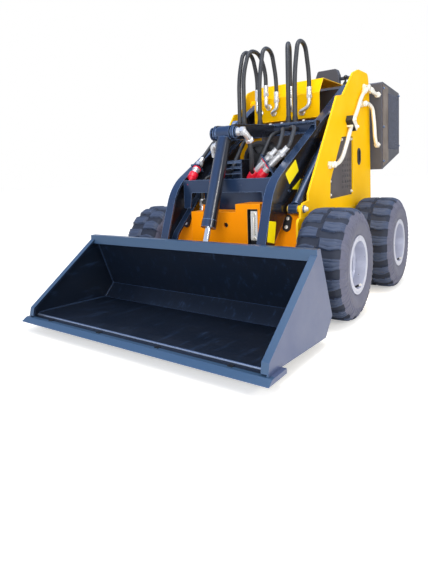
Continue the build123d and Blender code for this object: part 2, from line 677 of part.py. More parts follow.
def make_hitch():
    rows = [on_back(4, 0.3), on_back(4, PLATE_T), on_back(270, PLATE_T), on_back(270, 0.3)]
    hitch = plate(make_face(Polyline(*rows, close=True)), -330, 660)
    low = ear_at((HITCH_Y, HITCH_Z), 26)
    inner_x, outer_x = ARM_OUT - ARM_W - 6, ARM_OUT + 6
    for side in (-1, 1):
        for x in (inner_x - 12, outer_x):
            hitch += plate(low, x if side > 0 else -x - 12, 12)
        span = sorted((side * (inner_x - 18), side * (outer_x + 18)))
        hitch += pin_x(HITCH_Y, HITCH_Z, PIN_R - 3, *span)
    slot = [on_back(110, -1), on_back(110, 20), on_back(262, 20), on_back(262, -1)]
    hitch -= plate(make_face(Polyline(*slot, close=True)), -22, 44)
    high = ear_at(TILT_EYE, 26)
    for x in (-34, 22):
        hitch += plate(high, x, 12)
    for x in (-40, 34):
        hitch += pin_x(*TILT_EYE, PIN_R, x, x + 6)
    return hitch


def make_bucket():
    """Folded sheet with two side plates, a top bar and edge bars."""
    skin = [(LIP_Y + 60, LIP_Z), (LIP_Y + EDGE_DEEP, LIP_Z), BUCKET_LOW, BUCKET_REAR, BUCKET_TOP]
    half = BUCKET_W / 2
    bucket = plate(folded(skin, SHEET), -half, BUCKET_W)
    side = make_face(Polyline((LIP_Y + 20, LIP_Z), BUCKET_NOSE, BUCKET_TOP, BUCKET_REAR,
                              BUCKET_LOW, (LIP_Y + EDGE_DEEP, LIP_Z), close=True))
    bar_face = folded([BUCKET_TOP, BUCKET_NOSE, (LIP_Y + 20, LIP_Z + SHEET)], 8)
    for x in (-half, half - SHEET):
        bucket += plate(side, x, SHEET)
    for x in (-half, half - 24):
        bucket += plate(bar_face, x, 24)
    top_y, top_z = BUCKET_TOP
    bucket += block((-half, half), (top_y - 30, top_y), (top_z - 40, top_z))
    return bucket


def make_edge():
    """Cutting edge under the lip, a little wider than the bucket."""
    top = LIP_Z - SEAT
    low = top - EDGE_T
    face = make_face(Polyline((LIP_Y - 12, low), (LIP_Y + EDGE_DEEP, low),
                              (LIP_Y + EDGE_DEEP, top), (LIP_Y + 14, top), close=True))
    return plate(face, -EDGE_W / 2, EDGE_W)


write("hitch_plate", make_hitch())
write("bucket", make_bucket())
write("cutting_edge", make_edge())
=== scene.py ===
# %% [markdown]
# # Compact skid steer loader
# This lesson dresses a small loader: a low steel bucket on curved arms, two yellow towers, a tilt
# cylinder in the middle, hydraulic hoses and four lugged tyres. The solid parts come ready-made at
# their real size. Here they get their paint, rubber and metal, and the small things that a
# designer leaves to the end: tyre tread, hose ends, bolts, welds and stickers.

# %% Load the solid parts
import json
from math import cos, exp, pi, radians, sin

import bpy
from mathutils import Matrix, Vector


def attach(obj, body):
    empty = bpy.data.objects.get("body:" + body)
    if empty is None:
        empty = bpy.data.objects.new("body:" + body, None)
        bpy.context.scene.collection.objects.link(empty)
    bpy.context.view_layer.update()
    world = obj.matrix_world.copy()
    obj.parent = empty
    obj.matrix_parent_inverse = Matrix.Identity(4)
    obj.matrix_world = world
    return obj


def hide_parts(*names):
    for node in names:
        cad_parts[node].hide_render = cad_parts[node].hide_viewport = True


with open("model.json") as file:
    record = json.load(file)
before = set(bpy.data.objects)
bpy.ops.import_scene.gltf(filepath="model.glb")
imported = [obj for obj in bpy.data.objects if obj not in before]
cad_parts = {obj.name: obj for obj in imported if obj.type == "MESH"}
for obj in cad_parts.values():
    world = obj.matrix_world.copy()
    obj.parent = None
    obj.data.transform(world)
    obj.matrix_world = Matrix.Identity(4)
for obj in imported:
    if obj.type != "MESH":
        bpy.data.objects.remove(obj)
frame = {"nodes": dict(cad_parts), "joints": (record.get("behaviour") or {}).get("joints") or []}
NODES = frame["nodes"]
JOINTS = {joint["name"]: joint for joint in frame["joints"]}
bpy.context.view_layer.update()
MM = 0.001

# %% [markdown]
# ## Camera
# A buyer looks at a machine this size from a few metres away, near chest height, and it fills the
# upper half of the view. A camera aimed by a constraint would need less arithmetic. Heading, tilt
# and roll are kept as three plain angles instead, because a reader can change one of them and see
# what it does. The lens shift does what a view camera does: it slides the view without tilting
# the verticals.

# %% Place the camera
CAMERA_AT = (1.132, -2.373, 0.634)
HEADING, TILT, ROLL = 40.48, -4.63, -2.47    # degrees: to the left of +Y, down, clockwise
LENS = 30.09                                 # mm, on a 36 mm sensor
SHIFT = (0.127, -0.123)

camera = bpy.data.objects.new("camera", bpy.data.cameras.new("camera"))
camera.data.lens = LENS
camera.data.shift_x, camera.data.shift_y = SHIFT
camera.matrix_world = (Matrix.Translation(CAMERA_AT) @ Matrix.Rotation(radians(HEADING), 4, "Z")
                       @ Matrix.Rotation(radians(90 + TILT), 4, "X")
                       @ Matrix.Rotation(radians(ROLL), 4, "Z"))
bpy.context.scene.collection.objects.link(camera)
bpy.context.scene.camera = camera
bpy.context.scene.view_settings.view_transform = "Standard"
print("camera", CAMERA_AT, "lens", LENS)

# %% [markdown]
# ## Colour and shader helpers
# Paint makers and screens name a colour in sRGB, but a shader adds light up in linear values, so
# one function turns the hex code into those. Nodes could be wired by hand in the editor. A second
# function adds any node with its settings and links, which keeps each finish short enough to read
# in one look.


# %% Helpers for colours, nodes and materials
def tint(code):
    """Linear colour from an sRGB hex code such as FFC400."""
    channels = [int(code[at:at + 2], 16) / 255 for at in (0, 2, 4)]
    linear = [c / 12.92 if c <= 0.04045 else ((c + 0.055) / 1.055) ** 2.4 for c in channels]
    return (*linear, 1.0)


def plug(tree, socket, value):
    """Link a node's first output, or the output given, or set the socket's own value."""
    if isinstance(value, bpy.types.Node):
        value = value.outputs[0]
    if isinstance(value, bpy.types.NodeSocket):
        tree.links.new(value, socket)
    else:
        socket.default_value = value


def add(tree, kind, settings=None, **sockets):
    """Add one node; a socket goes by its name, with _ for a space, or by s and its number."""
    made = tree.nodes.new("ShaderNode" + kind)
    for name, value in (settings or {}).items():
        setattr(made, name, value)
    for name, value in sockets.items():
        key = int(name[1:]) if name[0] == "s" and name[1:].isdigit() else name.replace("_", " ")
        plug(tree, made.inputs[key], value)
    return made


def begin(name):
    """A new material with its node tree and its shader."""
    material = bpy.data.materials.new(name)
    material.use_nodes = True
    return material, material.node_tree, material.node_tree.nodes["Principled BSDF"]


def feed(tree, shader, **sockets):
    """Set or link sockets of the shader."""
    for name, value in sockets.items():
        plug(tree, shader.inputs[name.replace("_", " ")], value)


def per(size_mm):
    """Texture scale for a pattern whose features are about size_mm wide."""
    return 1000 / size_mm


print("orange FF9B00 in linear light:", [round(part, 3) for part in tint("FF9B00")[:3]])


# %% [markdown]
# ## Masks for painted highlights on corners and edge bars
# On a folded plate the paint thins over the corners and they catch the light, so a corner shows
# as a paler line; here that line is painted into the colour as a highlight. It could be brushed on
# by hand along every edge. A bevel node is quicker and leaves the mesh alone: where its rounded
# normal departs from the face's own, the point lies near an edge. A second mask finds the bucket's
# narrow edge bars by where they lie, for a painted reflection on them.


# %% Masks
def edge_highlight_mask(tree, radius_mm, reach=0.12):
    """1 on a plate's corners, where the painted highlight goes, and 0 on its flat faces."""
    rounded = add(tree, "Bevel", {"samples": 4}, Radius=radius_mm * MM)
    flat = add(tree, "NewGeometry")
    same = add(tree, "VectorMath", {"operation": "DOT_PRODUCT"}, s0=rounded,
               s1=flat.outputs["True Normal"])
    return add(tree, "MapRange", s0=same.outputs["Value"], s1=1.0, s2=1.0 - reach)


def axis_part(tree, source, axis, low, high, plain=False):
    """0 to 1 as the size of one coordinate of a vector runs from low to high."""
    value = add(tree, "SeparateXYZ", Vector=source).outputs[axis]
    if not plain:
        value = add(tree, "Math", {"operation": "ABSOLUTE"}, s0=value)
    return add(tree, "MapRange", s0=value, s1=low, s2=high)


BARS_WAY, BARS_AT = (0, -0.5505, 0.8348), 0.7105    # the edge bars' plane: its normal, metres along
TOP_BAR_Z, LIP_FACE_Y = 0.322, -1.158               # metres in the shared frame
MASK_STEP = 0.001                                   # a mask runs from 0 to 1 over a millimetre


def edge_bar_reflection_mask(tree):
    """1 on the bucket's narrow edge bars, its top bar and its lip, where the painted reflection
    goes.
    """
    place = add(tree, "TexCoord").outputs["Object"]
    normal = add(tree, "NewGeometry").outputs["Normal"]
    # the edge bars lie in one slanted plane, so their distance along its normal finds them
    lean = add(tree, "VectorMath", {"operation": "DOT_PRODUCT"}, s0=place, s1=BARS_WAY)
    bars = add(tree, "MapRange", s0=lean.outputs["Value"], s1=BARS_AT, s2=BARS_AT + MASK_STEP)
    top = axis_part(tree, place, "Z", TOP_BAR_Z, TOP_BAR_Z + MASK_STEP)
    lip = axis_part(tree, place, "Y", LIP_FACE_Y, LIP_FACE_Y - MASK_STEP, plain=True)
    high = add(tree, "Math", {"operation": "MAXIMUM"}, s0=bars, s1=top)
    found = add(tree, "Math", {"operation": "MAXIMUM"}, s0=high, s1=lip)
    upright = axis_part(tree, normal, "X", 0.5, 0.4)
    return add(tree, "Math", {"operation": "MULTIPLY"}, s0=found, s1=upright)


print("masks: corners, one coordinate, edge bars")

# %% [markdown]
# ## Paint over steel
# The machine is sprayed with thick polyester enamel: yellow on the frame, blue-black on arms and
# bucket. Up close such paint has a faint orange peel and its gloss is uneven. One flat colour would
# look like plastic. Here a wide cloud of noise shifts colour and gloss together, as an uneven coat
# does, and a fine one lifts the surface.


# %% Enamel
def enamel(name, colour, deep, corner, side=None, beyond_mm=0, rim=None, rough=0.5, shine=0.3,
           flake=0.0, edge_highlight_mm=2.5):
    """Enamel: deep is its thicker patches, corner the painted highlight on its edges, side the
    colour painted on plates that face left or right (or lie further out than beyond_mm), as painted
    shade on arms and hood and as painted reflection on the bucket's ends, rim the painted
    reflection on the bucket's edge bars, flake the share of metal powder in it."""
    material, tree, shader = begin(name)
    place = add(tree, "TexCoord").outputs["Object"]
    # orange peel is 1 to 2 mm wide: drawn at 5 mm so that it shows from some metres away
    peel = add(tree, "TexNoise", Vector=place, Scale=per(5), Detail=2.0, Roughness=0.5)
    cloud = add(tree, "TexNoise", Vector=place, Scale=per(160), Detail=3.0, Roughness=0.6)
    body = add(tree, "MixRGB", Fac=cloud, Color1=tint(colour), Color2=tint(deep))
    # painted light: plates that face left or right, or with beyond_mm those further out, take the
    # side colour; painted shade on arms and hood, painted reflection on the bucket's ends
    if side:
        source = place if beyond_mm else add(tree, "NewGeometry").outputs["Normal"]
        low, high = (beyond_mm * MM, (beyond_mm + 1) * MM) if beyond_mm else (0.35, 0.85)
        body = add(tree, "MixRGB", Fac=axis_part(tree, source, "X", low, high), Color1=body,
                   Color2=tint(side))
    if rim:
        # long faint scratches where earth slides in: noise stretched ten times along Y
        drawn = add(tree, "Mapping", Vector=place, Scale=(1, 0.1, 0.5))
        marks = add(tree, "TexNoise", Vector=drawn, Scale=per(22), Detail=6.0, Roughness=0.75)
        worn = add(tree, "MapRange", s0=marks, s1=0.56, s2=0.7, s4=0.35)
        body = add(tree, "MixRGB", Fac=worn, Color1=body, Color2=tint(corner))
        # painted reflection: the rim colour on the edge bars, the top bar and the lip
        body = add(tree, "MixRGB", Fac=edge_bar_reflection_mask(tree), Color1=body, Color2=tint(rim))
    # painted highlight: the corner colour along every edge
    skin = add(tree, "MixRGB", Fac=edge_highlight_mask(tree, edge_highlight_mm), Color1=body, Color2=tint(corner))
    gloss = add(tree, "MapRange", s0=cloud, s1=0.3, s2=0.7, s3=rough - 0.06, s4=rough + 0.08)
    bump = add(tree, "Bump", Strength=0.04, Distance=0.3 * MM, Height=peel)
    feed(tree, shader, Base_Color=skin, Roughness=gloss, Normal=bump, Specular_IOR_Level=shine,
         Metallic=flake)
    return material


# chalky and hardly shiny: the colour stays strong even where a plate is seen at a flat angle
YELLOW = enamel("yellow_polyester_enamel", "FECA00", "F6BC00", "FFE468", shine=0.06, rough=0.55)
# painted shade: the same chalky yellow paint, darkened to orange on the tank and the stops
SHADED_YELLOW = enamel("yellow_enamel_painted_shade", "FF9B00", "F68E00", "FFBC50", shine=0.1, rough=0.5)
# glossy with a little metal powder; painted reflection: blue on faces that do not look to the side,
# painted shade: near black on those that do
BLUE_BLACK_PAINTED_LIGHT = enamel("blue_black_enamel_painted_light", "2B4166", "1B2B45", "86A2D0", side="191C25", rough=0.22,
               shine=0.7, flake=0.3)
# dark blue-black with faint scratches where earth slides in; painted reflection: lighter on the end
# plates and along the edge bars
BUCKET_PAINTED_LIGHT = enamel("bucket_enamel_painted_light", "131D2E", "0C1422", "3C557C", side="525D80", beyond_mm=544,
                      rim="365171", rough=0.34, shine=0.5, flake=0.15, edge_highlight_mm=3)
# baked powder, an even satin; painted sheen: grey on faces that do not look to the side, painted
# shade: darker on the flanks
HOOD_PAINTED_LIGHT = enamel("hood_powder_coat_painted_light", "54545C", "44454E", "7380A0", side="262A3A", rough=0.4)
# thin dull paint on punched sheet: brownish against the yellow around it
NETTING = enamel("brown_black_net_paint", "575154", "474144", "8C868A", rough=0.5, shine=0.2)
print("enamels made")

# %% [markdown]
# ## Bare and plated metals
# Piston rods are hard chrome, ground and polished. Pipes, couplings and elbows are steel with a
# bright zinc coat, a little uneven and milky. The engine is sand-cast aluminium: dull, with a
# grain of a few millimetres. Each could have a node tree of its own, but they differ only in
# colour, roughness and grain, so one function makes them all. Every metal keeps the default IOR.


# %% Metals
def metal(name, colour, deep, rough, grain_mm, bump_mm, metallic=1.0):
    """A metal with a grain of the given width that changes its colour, gloss and height."""
    material, tree, shader = begin(name)
    place = add(tree, "TexCoord").outputs["Object"]
    grain = add(tree, "TexNoise", Vector=place, Scale=per(grain_mm), Detail=4.0, Roughness=0.6)
    skin = add(tree, "MixRGB", Fac=grain, Color1=tint(colour), Color2=tint(deep))
    gloss = add(tree, "MapRange", s0=grain, s1=0.3, s2=0.7, s3=rough * 0.8, s4=rough * 1.25)
    bump = add(tree, "Bump", Strength=0.3, Distance=bump_mm * MM, Height=grain)
    feed(tree, shader, Base_Color=skin, Roughness=gloss, Normal=bump, Metallic=metallic)
    return material


# ground and polished: a sharp bright streak along each rod
CHROME = metal("hard_chrome", "E6E7EA", "D5D7DB", 0.1, 60, 0.01)
# clear zinc: pale and cool, the lightest spots among the hoses
FITTING = metal("clear_zinc_plate", "ECEDF0", "C8CBD2", 0.3, 20, 0.02, metallic=0.65)
# bright zinc that has aged milky: warm white pipes
ZINC = metal("bright_zinc_plate", "FAF6EC", "E6E3DC", 0.36, 14, 0.1, metallic=0.45)
# cast in sand: dull grey with a rough skin
CAST = metal("sand_cast_aluminium", "5A5C60", "3C3E42", 0.5, 6, 0.5, metallic=0.8)
# lacquer with aluminium flakes: soft silver without a mirror image
SILVER = metal("silver_wheel_paint", "D2D5E4", "B8BCCE", 0.34, 30, 0.05, metallic=0.5)
# rolled and anodised: a brown sheen on the hood's flank
BRONZE = metal("bronze_anodised_sheet", "6B5540", "4B3B2E", 0.34, 90, 0.1, metallic=0.7)
# scoured bare by earth: a light line where the floor meets the lip
WORN = metal("scoured_lip_steel", "9AA8C0", "6C7B96", 0.35, 12, 0.1, metallic=0.7)
# rolled and oiled: nearly black, with a wet gleam
STEEL_DARK = metal("oiled_dark_steel", "2B2D31", "1B1C1F", 0.42, 10, 0.2, metallic=0.6)
# thin folded fins: grey, broken up by a fine grain
COOLER = metal("cooler_fin_aluminium", "4C5058", "2E3138", 0.45, 2.5, 0.6, metallic=0.8)
print("metals made")

# %% [markdown]
# ## Rubber and plastics
# Tyre rubber is filled with carbon black and is dull; its bars get a slate blue as painted
# highlight and the grooves between them a darker rubber as painted shade, and its sidewall carries
# a brownish bloom. Hose covers are smoother, with the faint cross pattern of the cloth they were
# cured in. The caps on the quick couplers are soft dipped vinyl, bright red and shiny. Knobs are
# moulded phenolic, harder and glossier. All are moulded, so one function gives each a fine grain
# from its mould and a wider bloom from weather.


# %% Rubber and plastic
def compound(name, colour, deep, rough, grain_mm, bump_mm, coat=0.0):
    """Rubber or plastic with a fine moulded grain."""
    material, tree, shader = begin(name)
    place = add(tree, "TexCoord").outputs["Object"]
    grain = add(tree, "TexNoise", Vector=place, Scale=per(grain_mm), Detail=5.0, Roughness=0.65)
    bloom = add(tree, "TexNoise", Vector=place, Scale=per(45), Detail=4.0, Roughness=0.6)
    skin = add(tree, "MixRGB", Fac=bloom, Color1=tint(colour), Color2=tint(deep))
    bump = add(tree, "Bump", Strength=0.35, Distance=bump_mm * MM, Height=grain)
    feed(tree, shader, Base_Color=skin, Roughness=rough, Coat_Weight=coat, Normal=bump)
    return material


# painted highlight: carbon-black rubber on the bars, coloured slate blue as if lit
LIT_TREAD = compound("tyre_tread_painted_highlight", "3D4B68", "2B3750", 0.55, 3, 0.4)
# painted shade: the same rubber between the bars, darker so the bars stand out
SHADED_GROOVE = compound("tyre_groove_painted_shade", "212A3E", "192031", 0.7, 3, 0.4)
# weathered flank with a bloom: the lightest part of the tyre
SIDEWALL = compound("tyre_sidewall_rubber", "686A80", "4C4E62", 0.55, 3, 0.3)
# cured under wrapped cloth: a soft dull black
HOSE = compound("braided_hose_cover", "34373D", "26282D", 0.5, 2, 0.3)
# dipped vinyl: strong red with a wet edge
RED_VINYL = compound("red_dipped_vinyl", "F2203F", "D80F30", 0.35, 8, 0.1, coat=0.2)
# moulded in a polished tool: deep black with small sharp lights
PHENOLIC = compound("black_phenolic", "121214", "0C0C0E", 0.2, 20, 0.02, coat=0.4)
# moulded rubber: flat black that swallows light
PAD_RUBBER = compound("black_stop_rubber", "232327", "18181B", 0.55, 2, 0.3)
# cast and polished: clean white behind the gauge's tube
GAUGE = compound("white_gauge_acrylic", "E9EAEC", "D6D8DC", 0.25, 20, 0.02, coat=0.4)
# printed film: flat, and brighter than any paint near it
LABEL = compound("yellow_vinyl_label", "FFEF10", "FBE400", 0.38, 30, 0.02)
# moulded with a fine texture: dark grey without glare
NYLON = compound("black_nylon", "1D1E21", "151619", 0.45, 2, 0.1)
print("rubbers and plastics made")

# %% [markdown]
# ## Finish for each solid part
# Every ready-made solid takes the finish that the real piece has. Each could be given its own by
# hand. A short table does it in one place, and shows at a glance what is made of what.

# %% Dress the solid parts
FINISHES = {
    YELLOW: ("chassis", "tower_left", "tower_right", "console"),
    SHADED_YELLOW: ("oil_tank", "arm_stops"),
    BLUE_BLACK_PAINTED_LIGHT: ("arm_left", "arm_right", "cross_beam", "arm_bridge", "lift_barrel_left",
            "lift_barrel_right", "tilt_barrel", "hitch_plate", "engine_guard"),
    BUCKET_PAINTED_LIGHT: ("bucket", "cutting_edge"),
    HOOD_PAINTED_LIGHT: ("rear_hood", "step", "dash", "grab_bar"),
    NETTING: ("tower_meshes",),
    CHROME: ("tilt_rod", "lift_rod_left", "lift_rod_right"),
    ZINC: ("oil_pipes",),
    FITTING: ("hose_elbows", "couplers"),
    CAST: ("engine",),
    STEEL_DARK: ("wheel_motors", "blower"),
    COOLER: ("cooler_core",),
    SILVER: ("rim_front_left", "rim_front_right", "rim_rear_left", "rim_rear_right"),
    LIT_TREAD: ("tyre_front_left", "tyre_front_right", "tyre_rear_left", "tyre_rear_right"),
    HOSE: ("lift_hoses", "coupler_hoses"),
    RED_VINYL: ("coupler_caps",),
    PHENOLIC: ("levers",),
    PAD_RUBBER: ("stop_pads",),
    GAUGE: ("sight_gauge",),
}
for finish, names in FINISHES.items():
    for name in names:
        NODES[name].data.materials.clear()
        NODES[name].data.materials.append(finish)
print("dressed:", sum(len(names) for names in FINISHES.values()), "of", len(NODES))

# %% [markdown]
# ## Studio
# The machine stands on a wide pale sheet in even light, with a soft shadow under it. A large lamp
# overhead gives the top faces their sheen, a weaker one in front fills the bucket, and a narrow
# one at the near side draws a line along rounded parts. The sheet glows a little for the camera
# alone, as a lit table does, so it comes out white and throws no more light at the machine. The
# world is white too, but glossy faces that look up see pale blue, as they would under a clear sky.

# %% Floor, lamps and world
FLOOR_HALF = 30                              # metres from the middle to each edge
FLOOR_GLOW = 0.4                             # for camera rays only
AMBIENT = 0.65                               # strength of the room's light on the machine


def build_floor():
    mesh = bpy.data.meshes.new("studio_floor")
    corners = ((-1, -1), (1, -1), (1, 1), (-1, 1))
    mesh.from_pydata([(x * FLOOR_HALF, y * FLOOR_HALF, 0) for x, y in corners], [], [(0, 1, 2, 3)])
    floor_sheet = bpy.data.objects.new("studio_floor", mesh)
    bpy.context.scene.collection.objects.link(floor_sheet)
    material, tree, shader = begin("pale_floor_sheet")
    seen = add(tree, "LightPath").outputs["Is Camera Ray"]
    glow = add(tree, "Math", {"operation": "MULTIPLY"}, s0=seen, s1=FLOOR_GLOW)
    feed(tree, shader, Base_Color=tint("FAFAFA"), Roughness=0.9, Emission_Color=tint("FFFFFF"),
         Emission_Strength=glow)
    mesh.materials.append(material)


def lamp(name, place, aim, size, watts, colour="FFFFFF"):
    """A square soft lamp at place, turned towards aim."""
    data = bpy.data.lights.new(name, "AREA")
    data.size, data.energy = size, watts
    data.color = tint(colour)[:3]
    made = bpy.data.objects.new(name, data)
    made.location = place
    made.rotation_euler = (Vector(aim) - Vector(place)).to_track_quat("-Z", "Y").to_euler()
    bpy.context.scene.collection.objects.link(made)


def build_world():
    world = bpy.data.worlds.new("white_room")
    bpy.context.scene.world = world
    world.use_nodes = True
    tree = world.node_tree
    path = add(tree, "LightPath")
    seen = add(tree, "Math", {"operation": "MAXIMUM"}, s0=path.outputs["Is Camera Ray"],
               s1=path.outputs["Is Glossy Ray"])
    seen = add(tree, "Math", {"operation": "MAXIMUM"}, s0=seen,
               s1=path.outputs["Is Transmission Ray"])
    level = add(tree, "MapRange", s0=seen, s3=AMBIENT, s4=1.0)
    # in reflections the room is light blue overhead, as if it had a skylight; all else is white
    way = add(tree, "SeparateXYZ", Vector=add(tree, "TexCoord").outputs["Generated"])
    sky = add(tree, "MapRange", s0=way.outputs["Z"], s1=0.1, s2=0.75)
    share = add(tree, "Math", {"operation": "MULTIPLY"}, s0=sky, s1=path.outputs["Is Glossy Ray"])
    shade = add(tree, "MixRGB", Fac=share, Color1=tint("FFFFFF"), Color2=tint("9DBDF2"))
    feed(tree, tree.nodes["Background"], Strength=level, Color=shade)


build_floor()
lamp("overhead_lamp", (0.6, -0.6, 4.2), (0, 0, 0.4), 2.4, 100, "FFFCF4")
lamp("front_fill_lamp", (1.0, -4.8, 1.3), (0, -0.4, 0.5), 2.2, 120)
lamp("side_strip_lamp", (3.9, -1.9, 2.3), (0, -0.2, 0.5), 0.7, 48, "FFF6E4")
build_world()
print("studio ready")

# %% [markdown]
# ## Measuring from the frame's datum
# A fitter measures a machine like this from one line on its frame. Points in the next cells are in
# millimetres from there: X to the machine's left, Y to the rear from a line 32 mm behind the front
# axle, Z up from the floor. Metres in the shared frame would do as well, but a reader would have to
# subtract the line's place each time, so one function does that and turns millimetres to metres.

# %% Places and mesh helpers
DATUM_Y = JOINTS["roll_front_left"]["pos_m"][1] + 32 * MM
TYRE_R = JOINTS["roll_front_left"]["pos_m"][2]
UP, REAR, FRONT = Vector((0, 0, 1)), Vector((0, 1, 0)), Vector((0, -1, 0))
LEFT, RIGHT = Vector((1, 0, 0)), Vector((-1, 0, 0))


def at(x, y, z):
    """A point in metres from millimetres about the frame's datum."""
    return Vector((x * MM, DATUM_Y + y * MM, z * MM))


def facing(side, x, outline):
    """Corners (y, z) on the plane at x, in order for a plate that grows away from the middle."""
    corners = [at(side * x, y, z) for y, z in outline]
    return corners if side > 0 else corners[::-1]


def show(name, mesh, materials, body):
    """Put a finished mesh in the scene as a piece that rides on a body."""
    mesh.polygons.foreach_set("use_smooth", [True] * len(mesh.polygons))
    mesh.set_sharp_from_angle(angle=radians(38))
    for material in materials:
        mesh.materials.append(material)
    piece = bpy.data.objects.new(name, mesh)
    bpy.context.scene.collection.objects.link(piece)
    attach(piece, body)
    return piece


def ring_faces(count, steps):
    """Quads between count rows of points that each run once around in so many steps."""
    return [(row * steps + step, row * steps + (step + 1) % steps,
             (row + 1) * steps + (step + 1) % steps, (row + 1) * steps + step)
            for row in range(count - 1) for step in range(steps)]


def ring_mesh(name, rows):
    """Mesh through rows of points that each run once around."""
    mesh = bpy.data.meshes.new(name)
    mesh.from_pydata([point for row in rows for point in row], [],
                     ring_faces(len(rows), len(rows[0])))
    return mesh


print("datum at y =", round(DATUM_Y, 4), "m; tyre radius", round(TYRE_R, 4), "m")

# %% [markdown]
# ## Tyres
# A loader tyre is a fat ring whose tread is two rows of slanted bars, set half a step apart. The
# bars lean back at the shoulder, where they are cut away, and the sidewall below them has a
# toothed band, a few raised rings and a rib that guards the rim. Carving this from blocks would
# take hundreds of pieces. It is easier as a height map on a ring: for every point of a fine grid
# one function says how far the rubber stands out there.

# %% Outline and bars
LUG_H, LUG_STEPS = 11, 18                    # bar height, bars in a row
BAND_R, RIDGES_R, GUARD_R = 184, (140, 152, 166), 127    # toothed band, raised rings, rim guard
FLANK_FROM, SIDEWALL_FROM = 85, 88           # from the middle plane: relief starts, rubber greys
CROWN_R = TYRE_R / MM - LUG_H
RING_STEPS, ROW_STEPS = 648, 56
SECTION = (  # half of the ring's outline: across, radius, share of the bar height, mm
    (89, 104, 0), (91, 121, 0), (98, 138, 0), (102, 158, 0), (101.5, 174, 0), (99, 190, 0.25),
    (93, 203, 0.7), (84, 214, 0.9), (69, CROWN_R - 2, 0.97), (48, CROWN_R - 0.5, 1),
    (24, CROWN_R, 1), (0, CROWN_R, 1))


def ease(value):
    """0 below 0, 1 above 1 and a smooth step between."""
    value = min(max(value, 0), 1)
    return value * value * (3 - 2 * value)


def curve_through(points, share):
    """Point at share 0 to 1 of a smooth curve through a list of points."""
    place = share * (len(points) - 1)
    first = min(int(place), len(points) - 2)
    t = place - first
    p0, p1, p2, p3 = (points[min(max(first + step, 0), len(points) - 1)] for step in (-1, 0, 1, 2))
    return [0.5 * (2 * b + (c - a) * t + (2 * a - 5 * b + 4 * c - d) * t * t
                   + (3 * b - a - 3 * c + d) * t ** 3) for a, b, c, d in zip(p0, p1, p2, p3)]


def bar_height(across, along):
    """How much of a tread bar stands at a point: across from the middle, along from its centre."""
    low = -24 - 8 * ease(across / 46) + 12 * ease((across - 46) / 51)
    high = 21 - 3 * ease(across / 46) + 2 * ease((across - 46) / 51)
    bar = ease((along - low) / 4) * ease((high - along) / 4) * ease((across - 3) / 5)
    # two shallow cuts run along each bar's face
    cuts = sum(exp(-((along - at_y) / 2.4) ** 2) for at_y in (low + 15, high - 13))
    return bar * (1 - 0.3 * cuts * ease((across - 14) / 8))


print("bars", LUG_STEPS, "in each row, crown radius", round(CROWN_R, 1), "mm")

# %% [markdown]
# ## From height map to tyre
# Each point of the grid is moved out by what stands there: bar, band, ring or guard. The left and
# right tyres are mirror images, as the bars have to point the same way when the machine rolls. A
# face takes its rubber from the same map: the bars a slate blue as painted highlight, the grooves a
# darker rubber as painted shade, and the flank its bloom.


# %% Build the tyres
def tyre_rows(side):
    """Rows of points around the ring; side is 1 or -1 for the outer face at +X or -X."""
    outline = [(x, r, h) for x, r, h in SECTION] + [(-x, r, h) for x, r, h in SECTION[-2::-1]]
    pitch = 2 * pi / LUG_STEPS
    rows, bars = [], []
    for row in range(ROW_STEPS + 1):
        across, radius, share = curve_through(outline, row / ROW_STEPS)
        half_side = 1 if across > 0 else -1
        ring, heights = [], []
        for step in range(RING_STEPS):
            turn = 2 * pi * step / RING_STEPS
            local = (turn - (0 if half_side > 0 else pitch / 2) + pitch / 2) % pitch - pitch / 2
            along = -radius * local * half_side
            bar = bar_height(abs(across), along) * min(max(share, 0), 1)
            teeth = 2.2 * ease(8 * (0.5 - abs(radius - BAND_R) / 20)) * ease(2 * sin(54 * turn))
            rings = sum(1.8 * exp(-((radius - at_r) / 1.8) ** 2) for at_r in RIDGES_R)
            guard = 2.5 * exp(-((radius - GUARD_R) / 3.5) ** 2)
            flat = 0 if abs(across) < FLANK_FROM else teeth * (1 - bar) + rings + guard
            tip = radius + bar * LUG_H
            x = side * (across + half_side * (flat + 1.5 * bar * (1 - share)))
            ring.append((x * MM, -tip * sin(turn) * MM, tip * cos(turn) * MM))
            heights.append(bar)
        rows.append(ring)
        bars.append(heights)
    return rows, bars


def build_tyres():
    for side in (1, -1):
        rows, bars = tyre_rows(side)
        for place in ("front", "rear"):
            name = f"{place}_{'left' if side > 0 else 'right'}"
            mesh = ring_mesh(f"lugged_tyre_{name}", rows)
            mesh.transform(Matrix.Translation(JOINTS["roll_" + name]["pos_m"]))
            if side > 0:
                mesh.flip_normals()
            tyre = show(f"lugged_tyre_{name}", mesh, (LIT_TREAD, SIDEWALL, SHADED_GROOVE), "wheel_" + name)
            wheel_x = abs(JOINTS["roll_" + name]["pos_m"][0])
            for face in mesh.polygons:
                off = abs(abs(face.center.x) - wheel_x) / MM
                stands = bars[face.index // RING_STEPS][face.index % RING_STEPS] > 0.4
                # bars take the painted highlight, grooves the painted shade, the flank its bloom
                face.material_index = 1 if off > SIDEWALL_FROM else 0 if stands else 2
            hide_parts("tyre_" + name)


build_tyres()
print("tyres: bars", 2 * LUG_STEPS, "points in each", RING_STEPS * (ROW_STEPS + 1))

# %% [markdown]
# ## A kit for small parts
# Nuts, bolts, ferrules, caps, welds and stickers are all one of three shapes: something turned on
# a lathe, something swept along a line, or a flat plate with a chamfer. One small class builds all
# three and gathers them, so that twenty bolts become a single mesh with a single name.


